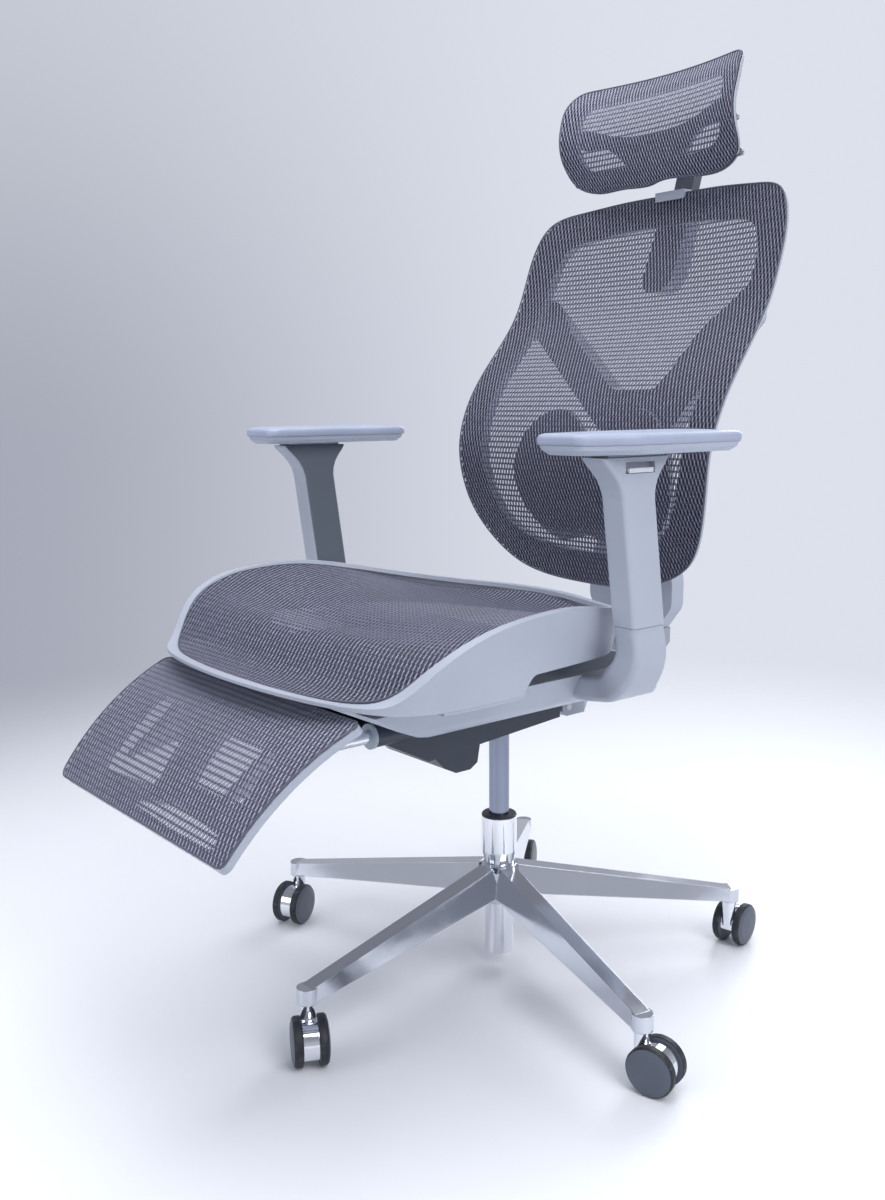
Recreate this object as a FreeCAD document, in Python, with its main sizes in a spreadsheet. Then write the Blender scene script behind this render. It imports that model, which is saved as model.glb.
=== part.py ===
import FreeCAD, Part
import math
import os

import Sketcher

# Reclining office chair with a footrest that slides and folds.
# Origin on the floor under the column axis, +Z up, the chair faces -Y and +X is the sitter's left.
# Millimetres throughout.

V = FreeCAD.Vector
X_AXIS = V(1, 0, 0)
Y_AXIS = V(0, 1, 0)
Z_AXIS = V(0, 0, 1)

os.makedirs("parts", exist_ok=True)
doc = FreeCAD.newDocument("reclining_office_chair")

# Driving dimensions: alias, value, what it is
SIZES = [
    # star base
    ("star_radius", 340, "column axis to caster stem"),
    ("star_turn", 274.8, "direction of the first arm in degrees"),
    ("hub_top", 150, "top of the hub above the floor"),
    ("hub_depth", 50, "height of the hub"),
    ("hub_radius", 29, "outside of the hub"),
    ("arm_root_top_width", 24, "flat top of a star arm at the hub"),
    ("arm_root_foot_width", 46, "open underside of a star arm at the hub"),
    ("arm_root_depth", 38, "height of a star arm at the hub"),
    ("arm_tip_top", 90, "top of a star arm at the caster"),
    ("arm_tip_top_width", 20, "flat top of a star arm at the caster"),
    ("arm_tip_foot_width", 26, "underside of a star arm at the caster"),
    ("arm_tip_depth", 18, "height of a star arm before the stem boss"),
    ("arm_wall", 3.5, "wall of a star arm"),
    ("stem_boss_radius", 13, "boss round a caster stem"),
    ("stem_boss_depth", 20, "height of that boss"),
    # column
    ("column_foot", 23, "lower end of the column tube above the floor"),
    ("column_top", 220, "upper end of the column tube"),
    ("column_radius", 20, "column tube below the hub"),
    ("collar_radius", 24.5, "widened column tube above the hub"),
    ("collar_foot", 170, "start of the widened tube"),
    ("column_bore", 16.5, "inside of the column tube"),
    ("column_floor", 4, "bottom of the column tube"),
    ("bushing_lip", 3, "black lip on top of the column tube"),
    ("gas_radius", 14, "gas cylinder"),
    ("gas_bore", 11, "inside of the gas cylinder"),
    ("gas_foot", 126, "lower end of the gas cylinder"),
    ("gas_top", 390, "upper end of the gas cylinder"),
    ("rod_radius", 5, "piston rod"),
    ("rod_top", 156, "upper end of the piston rod"),
    ("bearing_height", 6, "thrust bearing"),
    ("running_gap", 0.06, "radial clearance of a running fit"),
    ("seat_gap", 0.3, "clearance between pieces that rest on each other"),
    # casters
    ("wheel_radius", 30, "caster wheel"),
    ("wheel_width", 13.5, "caster wheel over its crown"),
    ("hood_width", 19, "chromed body between the wheels"),
    ("hood_radius", 25.5, "chromed body between the wheels"),
    ("caster_trail", 18, "stem axis to wheel axis"),
    ("stem_radius", 5.5, "caster stem"),
    ("axle_radius", 3, "caster axle"),
    # mechanism
    ("housing_width", 180, "mechanism housing across"),
    ("housing_top", 398, "top of the mechanism housing"),
    ("housing_front_low", 357, "underside of the housing at its front"),
    ("housing_rear_low", 373, "underside of the housing at its rear"),
    ("housing_front", 196, "front of the deep part of the housing, forward of the column"),
    ("housing_nose", 262, "tip of the housing, forward of the column"),
    ("housing_rear", 27, "rear shoulder of the housing, behind the column"),
    ("cover_width", 120, "bulge cover across"),
    ("cover_drop", 36, "how far the bulge cover hangs below the housing"),
    ("recline_pin_radius", 5, "recline hinge pin"),
    ("recline_pivot_y", 44, "recline hinge behind the column"),
    ("recline_pivot_z", 384, "recline hinge above the floor"),
    ("sleeve_radius", 14, "footrest sleeve"),
    ("sleeve_spread", 180, "footrest sleeves centre to centre"),
    ("sleeve_height", 405, "footrest sleeves above the floor"),
    ("sleeve_mouth", 281, "front of the sleeves, forward of the column"),
    ("sleeve_end", 60, "rear of the sleeves, forward of the column"),
    ("slide_rod_radius", 8, "footrest rod"),
    # carrier tray
    ("tray_width", 444, "carrier tray across at its rim"),
    ("tray_depth", 70, "carrier tray from its underside to its rim"),
    ("tray_front", 372, "front of the tray, forward of the column"),
    ("tray_rear", 62, "rear of the tray, behind the column"),
    ("tray_wall", 5, "wall of the carrier tray"),
    # seat
    ("seat_width", 578, "seat across at the crest of its rim"),
    ("seat_foot_width", 530, "seat across at the foot of its skirt"),
    ("seat_front", 420, "front of the seat, forward of the column"),
    ("seat_rear", 78, "rear of the seat, behind the column"),
    ("seat_front_rise", 8, "rim above the skirt's foot at the front"),
    ("seat_side_rise", 91, "rim above the skirt's foot at its crest"),
    ("seat_rear_rise", 59, "rim above the skirt's foot at the rear"),
    ("seat_rim", 13, "width of the seat rim"),
    ("seat_wall", 4.5, "wall of the seat skirt"),
    ("seat_dip", 26, "how far the seat mesh sags in the middle"),
    ("seat_roll", 20, "how far the mesh stands above the front of the rim where it rolls over"),
    ("mesh_thickness", 2.5, "stretched mesh"),
    # back
    ("back_foot", 525, "lower edge of the back above the floor"),
    ("back_height", 555, "height of the back"),
    ("back_half_width", 242, "half of the widest place of the back"),
    ("back_band", 46, "width of the back frame"),
    ("back_flange", 3.5, "thickness of the frame's outer flange"),
    ("back_flange_width", 14, "width of the frame's outer flange"),
    ("back_depth", 16, "thickness of the back frame"),
    ("support_plane", 262, "front of the Y support behind the column"),
    ("support_depth", 26, "thickness of the Y support"),
    ("spine_half_width", 54, "half width of the spine"),
    ("spine_foot_half_width", 80, "half width of the spine at the foot of the back"),
    ("spine_drop", 69, "how far the spine reaches below the back"),
    ("lobe_radius", 74, "lumbar lobe"),
    ("lobe_rise", 141, "middle of the lumbar lobes above the foot of the back"),
    ("lumbar_offset", 30, "lumbar pad behind the edge of the mesh"),
    ("lumbar_depth", 8, "thickness of the lumbar pad"),
    # headrest
    ("head_half_width", 158, "half width of the headrest"),
    ("head_gap", 11, "headrest above the back at its lowest setting"),
    ("head_height", 151, "height of the headrest"),
    ("head_band", 28, "width of the headrest frame"),
    ("head_flange", 4, "width of the headrest frame's thin edge"),
    ("head_depth", 10, "thickness of the headrest frame"),
    ("head_hollow", 24, "how far the middle lies behind the ends"),
    ("guide_width", 55, "headrest guide across"),
    ("guide_depth", 25, "headrest guide front to back"),
    ("guide_length", 131, "height of the headrest guide"),
    ("guide_lean", 17, "lean of the guide from the vertical in degrees"),
    ("stem_width", 34, "headrest stem across"),
    ("stem_depth", 16, "headrest stem front to back"),
    ("head_pivot_rise", 50, "headrest tilt pin above the back"),
    ("head_pin_radius", 4, "headrest tilt pin"),
    # arms
    ("arm_middle", 307, "middle of an arm post from the centre plane"),
    ("arm_seam_y", 70.5, "middle of an arm post at its foot, forward of the column"),
    ("bracket_rise", 71, "top of the arm sleeve above the rim of the tray"),
    ("post_thickness", 34, "arm post across the chair"),
    ("post_length", 52, "arm post front to back"),
    ("post_height", 186, "arm post from the sleeve to its head"),
    ("post_head_length", 104, "widened top of an arm post"),
    ("arm_lean", 8, "lean of an arm post from the vertical in degrees"),
    ("rail_thickness", 24, "inner rail across the chair"),
    ("rail_length", 40, "inner rail front to back"),
    ("rail_height", 143, "inner rail above the arm sleeve"),
    ("rail_socket", 34, "depth of the rail in the arm sleeve"),
    ("carriage_depth", 3, "plate that a pad slides on"),
    ("pad_length", 240, "arm pad front to back"),
    ("pad_width", 94, "arm pad across"),
    ("pad_shell_depth", 10, "shell under an arm pad"),
    ("pad_depth", 12, "soft arm pad"),
    ("pad_corner", 25, "front outer corner cut off an arm pad"),
    ("pad_pivot_radius", 9, "stud that an arm pad turns on"),
    # footrest
    ("foot_length", 197, "footrest panel front to back"),
    ("foot_rear_width", 428, "footrest panel at the seat"),
    ("foot_front_width", 392, "footrest panel at its free end"),
    ("foot_bulge", 15, "crown of the footrest panel"),
    ("foot_slope", 37.8, "downward slope of the footrest in degrees"),
    ("foot_rear_y", 382, "rear edge of the footrest, forward of the column"),
    ("foot_rear_rise", 59.5, "rear edge of the footrest above the rods"),
    ("foot_depth", 9, "thickness of the footrest frame"),
    ("foot_pivot_y", 400, "footrest hinge, forward of the column"),
    ("foot_shaft_radius", 6, "cross shaft of the footrest"),
    ("lever_reach", 140, "how far a lever stands out of the housing"),
]

sheet = doc.addObject("Spreadsheet::Sheet", "sizes")
for row, (alias, value, note) in enumerate(SIZES, start=1):
    sheet.set(f"A{row}", note)
    sheet.set(f"B{row}", str(value))
    sheet.setAlias(f"B{row}", alias)
doc.recompute()


def mm(alias):
    """The value of one driving dimension."""
    return float(sheet.get(alias))


def worked_out(expression):
    """The number an expression over the sheet gives."""
    result = sheet.evalExpression(expression)
    return float(getattr(result, "Value", result))


NODES = []


def keep(item, label):
    """Marks a document object as one named piece of the chair."""
    item.Label = label
    NODES.append(item)
    return item


# Sketch and body helpers


def origin_plane(body, role):
    for feature in body.Origin.OriginFeatures:
        if feature.Role == role:
            return feature
    raise ValueError(role)


def outline(body, name, plane, corners, lift=None):
    """A closed straight-sided sketch; each corner is held by two expressions."""
    sketch = body.newObject("Sketcher::SketchObject", name)
    sketch.AttachmentSupport = [(origin_plane(body, plane), "")]
    sketch.MapMode = "FlatFace"
    if lift is not None:
        sketch.setExpression("AttachmentOffset.Base.z", lift)
    places = [(worked_out(a), worked_out(b)) for a, b in corners]
    count = len(places)
    for i in range(count):
        start = V(*places[i], 0)
        end = V(*places[(i + 1) % count], 0)
        sketch.addGeometry(Part.LineSegment(start, end), False)
    for i in range(count):
        sketch.addConstraint(Sketcher.Constraint("Coincident", i, 2, (i + 1) % count, 1))
    for i, (place, corner) in enumerate(zip(places, corners)):
        for kind, letter, number, rule in (
            ("DistanceX", "x", place[0], corner[0]),
            ("DistanceY", "y", place[1], corner[1]),
        ):
            index = sketch.addConstraint(Sketcher.Constraint(kind, -1, 1, i, 1, number))
            sketch.renameConstraint(index, f"{letter}{i}")
            sketch.setExpression(f"Constraints.{letter}{i}", rule)
    return sketch


def disc(body, name, plane, radius, centre=("0", "0"), lift=None):
    """A circle sketch held by its centre and radius."""
    sketch = body.newObject("Sketcher::SketchObject", name)
    sketch.AttachmentSupport = [(origin_plane(body, plane), "")]
    sketch.MapMode = "FlatFace"
    if lift is not None:
        sketch.setExpression("AttachmentOffset.Base.z", lift)
    x, y = worked_out(centre[0]), worked_out(centre[1])
    sketch.addGeometry(Part.Circle(V(x, y, 0), Z_AXIS, worked_out(radius)), False)
    rules = (("DistanceX", "cx", x, centre[0]), ("DistanceY", "cy", y, centre[1]))
    for kind, label, number, rule in rules:
        index = sketch.addConstraint(Sketcher.Constraint(kind, -1, 1, 0, 3, number))
        sketch.renameConstraint(index, label)
        sketch.setExpression(f"Constraints.{label}", rule)
    index = sketch.addConstraint(Sketcher.Constraint("Radius", 0, worked_out(radius)))
    sketch.renameConstraint(index, "r")
    sketch.setExpression("Constraints.r", radius)
    return sketch


def new_body(label):
    body = doc.addObject("PartDesign::Body", label)
    return keep(body, label)


def pad(body, name, sketch, length, midplane=False, back=False):
    feature = body.newObject("PartDesign::Pad", name)
    feature.Profile = sketch
    feature.setExpression("Length", length)
    feature.Midplane = midplane
    feature.Reversed = back
    body.Tip = feature
    return feature


def pocket(body, name, sketch, length=None, midplane=False, back=False):
    feature = body.newObject("PartDesign::Pocket", name)
    feature.Profile = sketch
    if length is None:
        feature.Type = "ThroughAll"
    else:
        feature.setExpression("Length", length)
    feature.Midplane = midplane
    feature.Reversed = back
    body.Tip = feature
    return feature


def turned(label, profile, axis="V_Axis"):
    """A body of revolution about Z from (radius, height) corners."""
    body = new_body(label)
    sketch = outline(body, f"{label}_profile", "XZ_Plane", profile)
    feature = body.newObject("PartDesign::Revolution", f"{label}_turn")
    feature.Profile = sketch
    feature.ReferenceAxis = (sketch, [axis])
    feature.Angle = 360
    body.Tip = feature
    return body


def shaped(label, shape):
    """A piece whose shape is worked out below from the same sheet."""
    feature = doc.addObject("Part::Feature", label)
    feature.Shape = shape
    return keep(feature, label)


# Free-form helpers


def loop_wire(points):
    """One smooth closed curve through the points."""
    curve = Part.BSplineCurve()
    curve.interpolate(points, PeriodicFlag=True)
    return Part.Wire([curve.toShape()])


def loop_face(points):
    return Part.Face(loop_wire(points))


def rounded_wire(points, radii):
    """A closed wire of straight runs joined by tangent arcs."""
    count = len(points)
    starts, ends, middles = [], [], []
    for i in range(count):
        here = points[i]
        if radii[i] == 0:
            starts.append(here)
            ends.append(here)
            middles.append(here)
            continue
        before = (points[i - 1] - here).normalize()
        after = (points[(i + 1) % count] - here).normalize()
        half = before.getAngle(after) / 2
        reach = radii[i] / math.tan(half)
        centre = here + (before + after).normalize() * (radii[i] / math.sin(half))
        starts.append(here + before * reach)
        ends.append(here + after * reach)
        middles.append(centre + (here - centre).normalize() * radii[i])
    edges = []
    for i in range(count):
        if radii[i] > 0:
            edges.append(Part.Arc(starts[i], middles[i], ends[i]).toShape())
        if (starts[(i + 1) % count] - ends[i]).Length > 1e-6:
            edges.append(Part.LineSegment(ends[i], starts[(i + 1) % count]).toShape())
    return Part.Wire(edges)


def mirrored(points):
    """Half an outline, given for positive X, completed about the centre plane."""
    other = [V(-p.x, p.y, p.z) for p in reversed(points) if abs(p.x) > 1e-6]
    return points + other


def grid_face(place, us, vs):
    """A smooth face through place(u, v)."""
    surface = Part.BSplineSurface()
    surface.interpolate([[place(u, v) for v in vs] for u in us])
    return surface.toShape()


def steps(first, last, count):
    return [first + (last - first) * i / (count - 1) for i in range(count)]


def through(stations, value):
    """A smooth curve through (position, height) stations, level slopes kept from neighbour to neighbour."""
    places = [place for place, _ in stations]
    heights = [height for _, height in stations]
    last = len(places) - 1
    slopes = []
    for i in range(last + 1):
        low, high = max(i - 1, 0), min(i + 1, last)
        slopes.append((heights[high] - heights[low]) / (places[high] - places[low]))
    i = 0
    while i < last - 1 and value > places[i + 1]:
        i += 1
    span = places[i + 1] - places[i]
    part = min(max((value - places[i]) / span, 0), 1)
    from_left = heights[i] * (1 + 2 * part) + slopes[i] * span * part
    from_right = heights[i + 1] * (3 - 2 * part) - slopes[i + 1] * span * (1 - part)
    return from_left * (1 - part) ** 2 + from_right * part ** 2


def box(x0, x1, y0, y1, z0, z1):
    return Part.makeBox(x1 - x0, y1 - y0, z1 - z0, V(x0, y0, z0))


def rod(radius, start, end):
    return Part.makeCylinder(radius, (end - start).Length, start, end - start)


# Star base: one lofted arm, hollow from below, repeated round the hub

star = new_body("star_base")
hub_sketch = outline(star, "hub_profile", "XZ_Plane", [
    ("sizes.column_radius + sizes.running_gap", "sizes.hub_top - sizes.hub_depth"),
    ("sizes.hub_radius", "sizes.hub_top - sizes.hub_depth"),
    ("sizes.hub_radius", "sizes.hub_top - 6"),
    ("sizes.hub_radius - 5", "sizes.hub_top"),
    ("sizes.column_radius + sizes.running_gap", "sizes.hub_top"),
])
hub = star.newObject("PartDesign::Revolution", "hub")
hub.Profile = hub_sketch
hub.ReferenceAxis = (hub_sketch, ["V_Axis"])
hub.Angle = 360
star.Tip = hub


def arm_section(name, lift, top, top_width, foot_width, depth, inset):
    """One trapezoid across an arm; the inset one cuts the hollow."""
    low = f"{top} - {depth}" + (" - 2" if inset else "")
    high = f"{top}" + (" - sizes.arm_wall" if inset else "")
    thinner = " - sizes.arm_wall" if inset else ""
    return outline(star, name, "YZ_Plane", [
        (f"-({foot_width} / 2{thinner})", low),
        (f"{foot_width} / 2{thinner}", low),
        (f"{top_width} / 2{thinner}", high),
        (f"-({top_width} / 2{thinner})", high),
    ], lift=lift)


ROOT = ("sizes.arm_root_top_width", "sizes.arm_root_foot_width", "sizes.arm_root_depth")
TIP = ("sizes.arm_tip_top_width", "sizes.arm_tip_foot_width", "sizes.arm_tip_depth")
arm_root = arm_section("arm_root", "sizes.column_radius + 5", "sizes.hub_top", *ROOT, False)
arm_tip = arm_section("arm_tip", "sizes.star_radius", "sizes.arm_tip_top", *TIP, False)
arm = star.newObject("PartDesign::AdditiveLoft", "arm")
arm.Profile = arm_root
arm.Sections = [arm_tip]
arm.Ruled = True
star.Tip = arm
boss_sketch = disc(star, "boss_circle", "XY_Plane", "sizes.stem_boss_radius",
                   ("sizes.star_radius", "0"), "sizes.arm_tip_top - sizes.stem_boss_depth")
boss = pad(star, "boss", boss_sketch, "sizes.stem_boss_depth")
hollow_root = arm_section("hollow_root", "sizes.hub_radius + 4", "sizes.hub_top", *ROOT, True)
hollow_tip = arm_section("hollow_tip", "sizes.star_radius - sizes.stem_boss_radius - 2",
                         "sizes.arm_tip_top", *TIP, True)
hollow = star.newObject("PartDesign::SubtractiveLoft", "hollow")
hollow.Profile = hollow_root
hollow.Sections = [hollow_tip]
hollow.Ruled = True
star.Tip = hollow
bore_sketch = disc(star, "stem_bore_circle", "XY_Plane", "sizes.stem_radius + sizes.running_gap",
                   ("sizes.star_radius", "0"), "sizes.arm_tip_top - sizes.stem_boss_depth - 1")
stem_bore = pocket(star, "stem_bore", bore_sketch, "sizes.stem_boss_depth - 4", back=True)
doc.recompute()
around = star.newObject("PartDesign::PolarPattern", "five_arms")
around.Originals = [arm, boss, hollow, stem_bore]
around.Axis = (hub_sketch, ["V_Axis"])
around.Angle = 360
around.Occurrences = 5
star.Tip = around
doc.recompute()
column_clear_sketch = disc(star, "column_clear_circle", "XY_Plane",
                           "sizes.column_radius + sizes.running_gap", lift="sizes.column_foot")
column_clear = pocket(star, "column_clear", column_clear_sketch, "sizes.hub_top", back=True)
star.setExpression("Placement.Rotation.Angle", "sizes.star_turn")

# Column: tube, bushing, thrust bearing, piston rod and gas cylinder on one axis

turned("column_tube", [
    ("0", "sizes.column_foot"),
    ("sizes.column_radius", "sizes.column_foot"),
    ("sizes.column_radius", "sizes.hub_top + 2"),
    ("sizes.column_radius + 1.5", "sizes.hub_top + 10"),
    ("sizes.collar_radius", "sizes.collar_foot"),
    ("sizes.collar_radius", "sizes.column_top"),
    ("sizes.column_bore", "sizes.column_top"),
    ("sizes.column_bore", "sizes.column_foot + sizes.column_floor"),
    ("0", "sizes.column_foot + sizes.column_floor"),
])
turned("column_bushing", [
    ("sizes.gas_radius + sizes.running_gap", "sizes.column_top - 90"),
    ("sizes.column_bore - sizes.running_gap", "sizes.column_top - 90"),
    ("sizes.column_bore - sizes.running_gap", "sizes.column_top"),
    ("sizes.collar_radius - 0.5", "sizes.column_top"),
    ("sizes.collar_radius - 0.5", "sizes.column_top + sizes.bushing_lip - 1"),
    ("sizes.collar_radius - 1.5", "sizes.column_top + sizes.bushing_lip"),
    ("sizes.gas_radius + sizes.running_gap", "sizes.column_top + sizes.bushing_lip"),
])
BEARING_FOOT = "sizes.column_foot + sizes.column_floor + sizes.seat_gap"
BEARING_HEAD = f"{BEARING_FOOT} + sizes.bearing_height"
turned("thrust_bearing", [
    ("sizes.rod_radius + sizes.running_gap", BEARING_FOOT),
    ("sizes.column_bore - 4", BEARING_FOOT),
    ("sizes.column_bore - 4", BEARING_HEAD),
    ("sizes.rod_radius + sizes.running_gap", BEARING_HEAD),
])
turned("piston_rod", [
    ("0", BEARING_FOOT),
    ("sizes.rod_radius", BEARING_FOOT),
    ("sizes.rod_radius", BEARING_HEAD),
    ("sizes.gas_bore - 2", BEARING_HEAD),
    ("sizes.gas_bore - 2", f"{BEARING_HEAD} + 3"),
    ("sizes.rod_radius", f"{BEARING_HEAD} + 3"),
    ("sizes.rod_radius", "sizes.rod_top - 12"),
    ("sizes.gas_bore - sizes.running_gap", "sizes.rod_top - 12"),
    ("sizes.gas_bore - sizes.running_gap", "sizes.rod_top"),
    ("0", "sizes.rod_top"),
])
turned("gas_cylinder", [
    ("sizes.gas_bore", "sizes.gas_foot"),
    ("sizes.gas_radius", "sizes.gas_foot"),
    ("sizes.gas_radius", "sizes.gas_top"),
    ("0", "sizes.gas_top"),
    ("0", "sizes.gas_top - 40"),
    ("sizes.gas_bore", "sizes.gas_top - 40"),
])

# Casters: a chromed body with stem, hood and axle, and two wheels on the axle.
# The trail directions are those of the photo, in degrees from +X.

TRAIL_DIRECTIONS = (333.0, 15.0, 100.0, 306.0, 296.0)
WHEEL_INNER = "(sizes.hood_width / 2 + 0.7)"
WHEEL_OUTER = f"({WHEEL_INNER} + sizes.wheel_width)"


def caster_body(label):
    """Stem along Z above the origin, wheel axle along Y at the trail distance along X."""
    body = new_body(label)
    hood_sketch = disc(body, f"{label}_hood", "XZ_Plane", "sizes.hood_radius",
                       ("sizes.caster_trail", "sizes.wheel_radius"))
    hood = pad(body, f"{label}_hood_pad", hood_sketch, "sizes.hood_width", midplane=True)
    under_sketch = outline(body, f"{label}_under", "XZ_Plane", [
        ("sizes.caster_trail - sizes.hood_radius - 2", "0"),
        ("sizes.caster_trail + sizes.hood_radius + 2", "0"),
        ("sizes.caster_trail + sizes.hood_radius + 2", "sizes.wheel_radius * 0.45"),
        ("sizes.caster_trail", "sizes.wheel_radius * 0.75"),
        ("sizes.caster_trail - sizes.hood_radius - 2", "sizes.wheel_radius * 0.9"),
    ])
    pocket(body, f"{label}_under_cut", under_sketch, "sizes.hood_width + 2", midplane=True)
    neck_sketch = disc(body, f"{label}_neck", "XY_Plane", "sizes.hood_width / 2",
                       lift="sizes.wheel_radius + 2")
    pad(body, f"{label}_neck_pad", neck_sketch,
        "sizes.arm_tip_top - sizes.stem_boss_depth - sizes.seat_gap - sizes.wheel_radius - 2")
    stem_sketch = disc(body, f"{label}_stem", "XY_Plane", "sizes.stem_radius",
                       lift="sizes.wheel_radius + 2")
    pad(body, f"{label}_stem_pad", stem_sketch, "sizes.arm_tip_top - sizes.wheel_radius - 10")
    axle_sketch = disc(body, f"{label}_axle", "XZ_Plane", "sizes.axle_radius",
                       ("sizes.caster_trail", "sizes.wheel_radius"))
    pad(body, f"{label}_axle_pad", axle_sketch, f"2 * {WHEEL_OUTER} - 8", midplane=True)
    return body


def caster_wheel(label):
    """A wheel turned about Z, later laid on its side; the outer face is crowned."""
    return turned(label, [
        ("sizes.axle_radius + sizes.running_gap", WHEEL_INNER),
        ("sizes.wheel_radius - 1", WHEEL_INNER),
        ("sizes.wheel_radius", f"{WHEEL_INNER} + 1"),
        ("sizes.wheel_radius", f"{WHEEL_INNER} + 8"),
        ("sizes.wheel_radius - 2", f"{WHEEL_INNER} + 10.5"),
        ("sizes.wheel_radius - 9", f"{WHEEL_OUTER} - 1"),
        ("0", WHEEL_OUTER),
        ("0", f"{WHEEL_OUTER} - 3"),
        ("sizes.axle_radius + sizes.running_gap", f"{WHEEL_OUTER} - 3"),
    ])


def turned_about_z(degrees):
    return FreeCAD.Rotation(Z_AXIS, degrees)


for number, trail in enumerate(TRAIL_DIRECTIONS, start=1):
    arm_angle = math.radians(mm("star_turn") + 72 * (number - 1))
    stem_foot = V(mm("star_radius") * math.cos(arm_angle), mm("star_radius") * math.sin(arm_angle), 0)
    caster = caster_body(f"caster_body_{number}")
    caster.Placement = FreeCAD.Placement(stem_foot, turned_about_z(trail))
    for name, side in (("a", 1), ("b", -1)):
        wheel = caster_wheel(f"caster_wheel_{number}{name}")
        lay = turned_about_z(trail).multiply(FreeCAD.Rotation(X_AXIS, -90 * side))
        axle = stem_foot + turned_about_z(trail).multVec(V(mm("caster_trail"), 0, 0))
        wheel.Placement = FreeCAD.Placement(axle + V(0, 0, mm("wheel_radius")), lay)

# Mechanism housing with the footrest sleeves cast on, and a tongue for the recline hinge

housing = new_body("mechanism_housing")
housing_profile = outline(housing, "housing_side", "YZ_Plane", [
    ("-sizes.housing_nose", "sizes.housing_top"),
    ("-sizes.housing_nose", "sizes.housing_top - 7"),
    ("-sizes.housing_front", "sizes.housing_front_low"),
    ("sizes.housing_rear", "sizes.housing_rear_low"),
    ("sizes.housing_rear", "sizes.housing_top"),
])
housing_pad = pad(housing, "housing_pad", housing_profile, "sizes.housing_width", midplane=True)
tongue_profile = outline(housing, "tongue_side", "YZ_Plane", [
    ("sizes.housing_rear - 2", "sizes.recline_pivot_z - 9"),
    ("sizes.recline_pivot_y + 8", "sizes.recline_pivot_z - 9"),
    ("sizes.recline_pivot_y + 11", "sizes.recline_pivot_z"),
    ("sizes.recline_pivot_y + 8", "sizes.recline_pivot_z + 9"),
    ("sizes.housing_rear - 2", "sizes.recline_pivot_z + 9"),
])
pad(housing, "tongue_pad", tongue_profile, "sizes.housing_width - 40", midplane=True)
for side in (-1, 1):
    name = "left" if side > 0 else "right"
    place = (f"{side} * sizes.sleeve_spread / 2", "sizes.sleeve_height")
    sleeve = disc(housing, f"sleeve_{name}", "XZ_Plane", "sizes.sleeve_radius", place,
                  "sizes.sleeve_end")
    pad(housing, f"sleeve_{name}_pad", sleeve, "sizes.sleeve_mouth - sizes.sleeve_end")
    bore = disc(housing, f"sleeve_{name}_bore", "XZ_Plane",
                "sizes.slide_rod_radius + 2 * sizes.running_gap", place, "sizes.sleeve_mouth + 1")
    pocket(housing, f"sleeve_{name}_cut", bore, "sizes.sleeve_mouth - sizes.sleeve_end - 4")
well = disc(housing, "column_well", "XY_Plane", "sizes.gas_radius + sizes.running_gap",
            lift="sizes.housing_front_low - 5")
pocket(housing, "column_well_cut", well,
       "sizes.gas_top + sizes.running_gap - sizes.housing_front_low + 5", back=True)
pin_bore = disc(housing, "pin_bore", "YZ_Plane", "sizes.recline_pin_radius + sizes.running_gap",
                ("sizes.recline_pivot_y", "sizes.recline_pivot_z"))
pocket(housing, "pin_bore_cut", pin_bore, "sizes.housing_width", midplane=True)

# Bulge cover under the front of the housing; its top follows the housing's sloping underside

HOUSING_SLOPE = "((sizes.housing_rear_low - sizes.housing_front_low) / (sizes.housing_rear + sizes.housing_front))"


def under_housing(inset):
    """Height of the housing's underside this far behind its front corner."""
    return f"sizes.housing_front_low + {inset} * {HOUSING_SLOPE}"


cover = new_body("mechanism_cover")
cover_profile = outline(cover, "cover_side", "YZ_Plane", [
    ("-sizes.housing_front + 22", under_housing(22)),
    ("-sizes.housing_front + 50", "sizes.housing_front_low - sizes.cover_drop * 0.75"),
    ("-sizes.housing_front + 68", "sizes.housing_front_low - sizes.cover_drop"),
    ("-sizes.housing_front + 92", "sizes.housing_front_low - sizes.cover_drop"),
    ("-sizes.housing_front + 104", "sizes.housing_front_low - sizes.cover_drop * 0.8"),
    ("-sizes.housing_front + 111", under_housing(111)),
])
cover_pad = pad(cover, "cover_pad", cover_profile, "sizes.cover_width", midplane=True)

# Light rings in the mouths of the footrest sleeves, one node of two alike rings

rings = []
for side in (-1, 1):
    centre = V(side * mm("sleeve_spread") / 2, -mm("sleeve_mouth"), mm("sleeve_height"))
    outer = rod(mm("sleeve_radius") + 1, centre, centre - Y_AXIS * 4)
    inner = rod(mm("slide_rod_radius") + 2 * mm("running_gap"), centre, centre - Y_AXIS * 4)
    rings.append(outer.cut(inner))
shaped("sleeve_rings", Part.makeCompound(rings))

# Carrier tray: a side profile and a cross profile meet in one dished tray, hollowed by its wall

GAP = mm("seat_gap")
TRAY_LOW = mm("housing_top") + GAP
TRAY_RIM = TRAY_LOW + mm("tray_depth")
SLEEVE_X = mm("sleeve_spread") / 2


def tray_across(inset, rise, front, rear):
    """The tray's cross form drawn out along the chair, its sides carried on above the rim by rise."""
    half = mm("tray_width") / 2 - inset
    low = TRAY_LOW + inset
    outward = rise * 20 / (mm("tray_depth") - 34)
    right = [
        V(-half - outward, 0, TRAY_RIM + rise), V(-half + 20, 0, low + 34), V(-half + 70, 0, low + 12),
        V(-half + 120, 0, low),
    ]
    left = [V(-p.x, 0, p.z) for p in reversed(right)]
    cross_face = Part.Face(rounded_wire(right + left, [0, 22, 60, 60, 60, 60, 22, 0]))
    return cross_face.extrude(V(0, rear - front, 0)).translated(V(0, front, 0))


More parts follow.
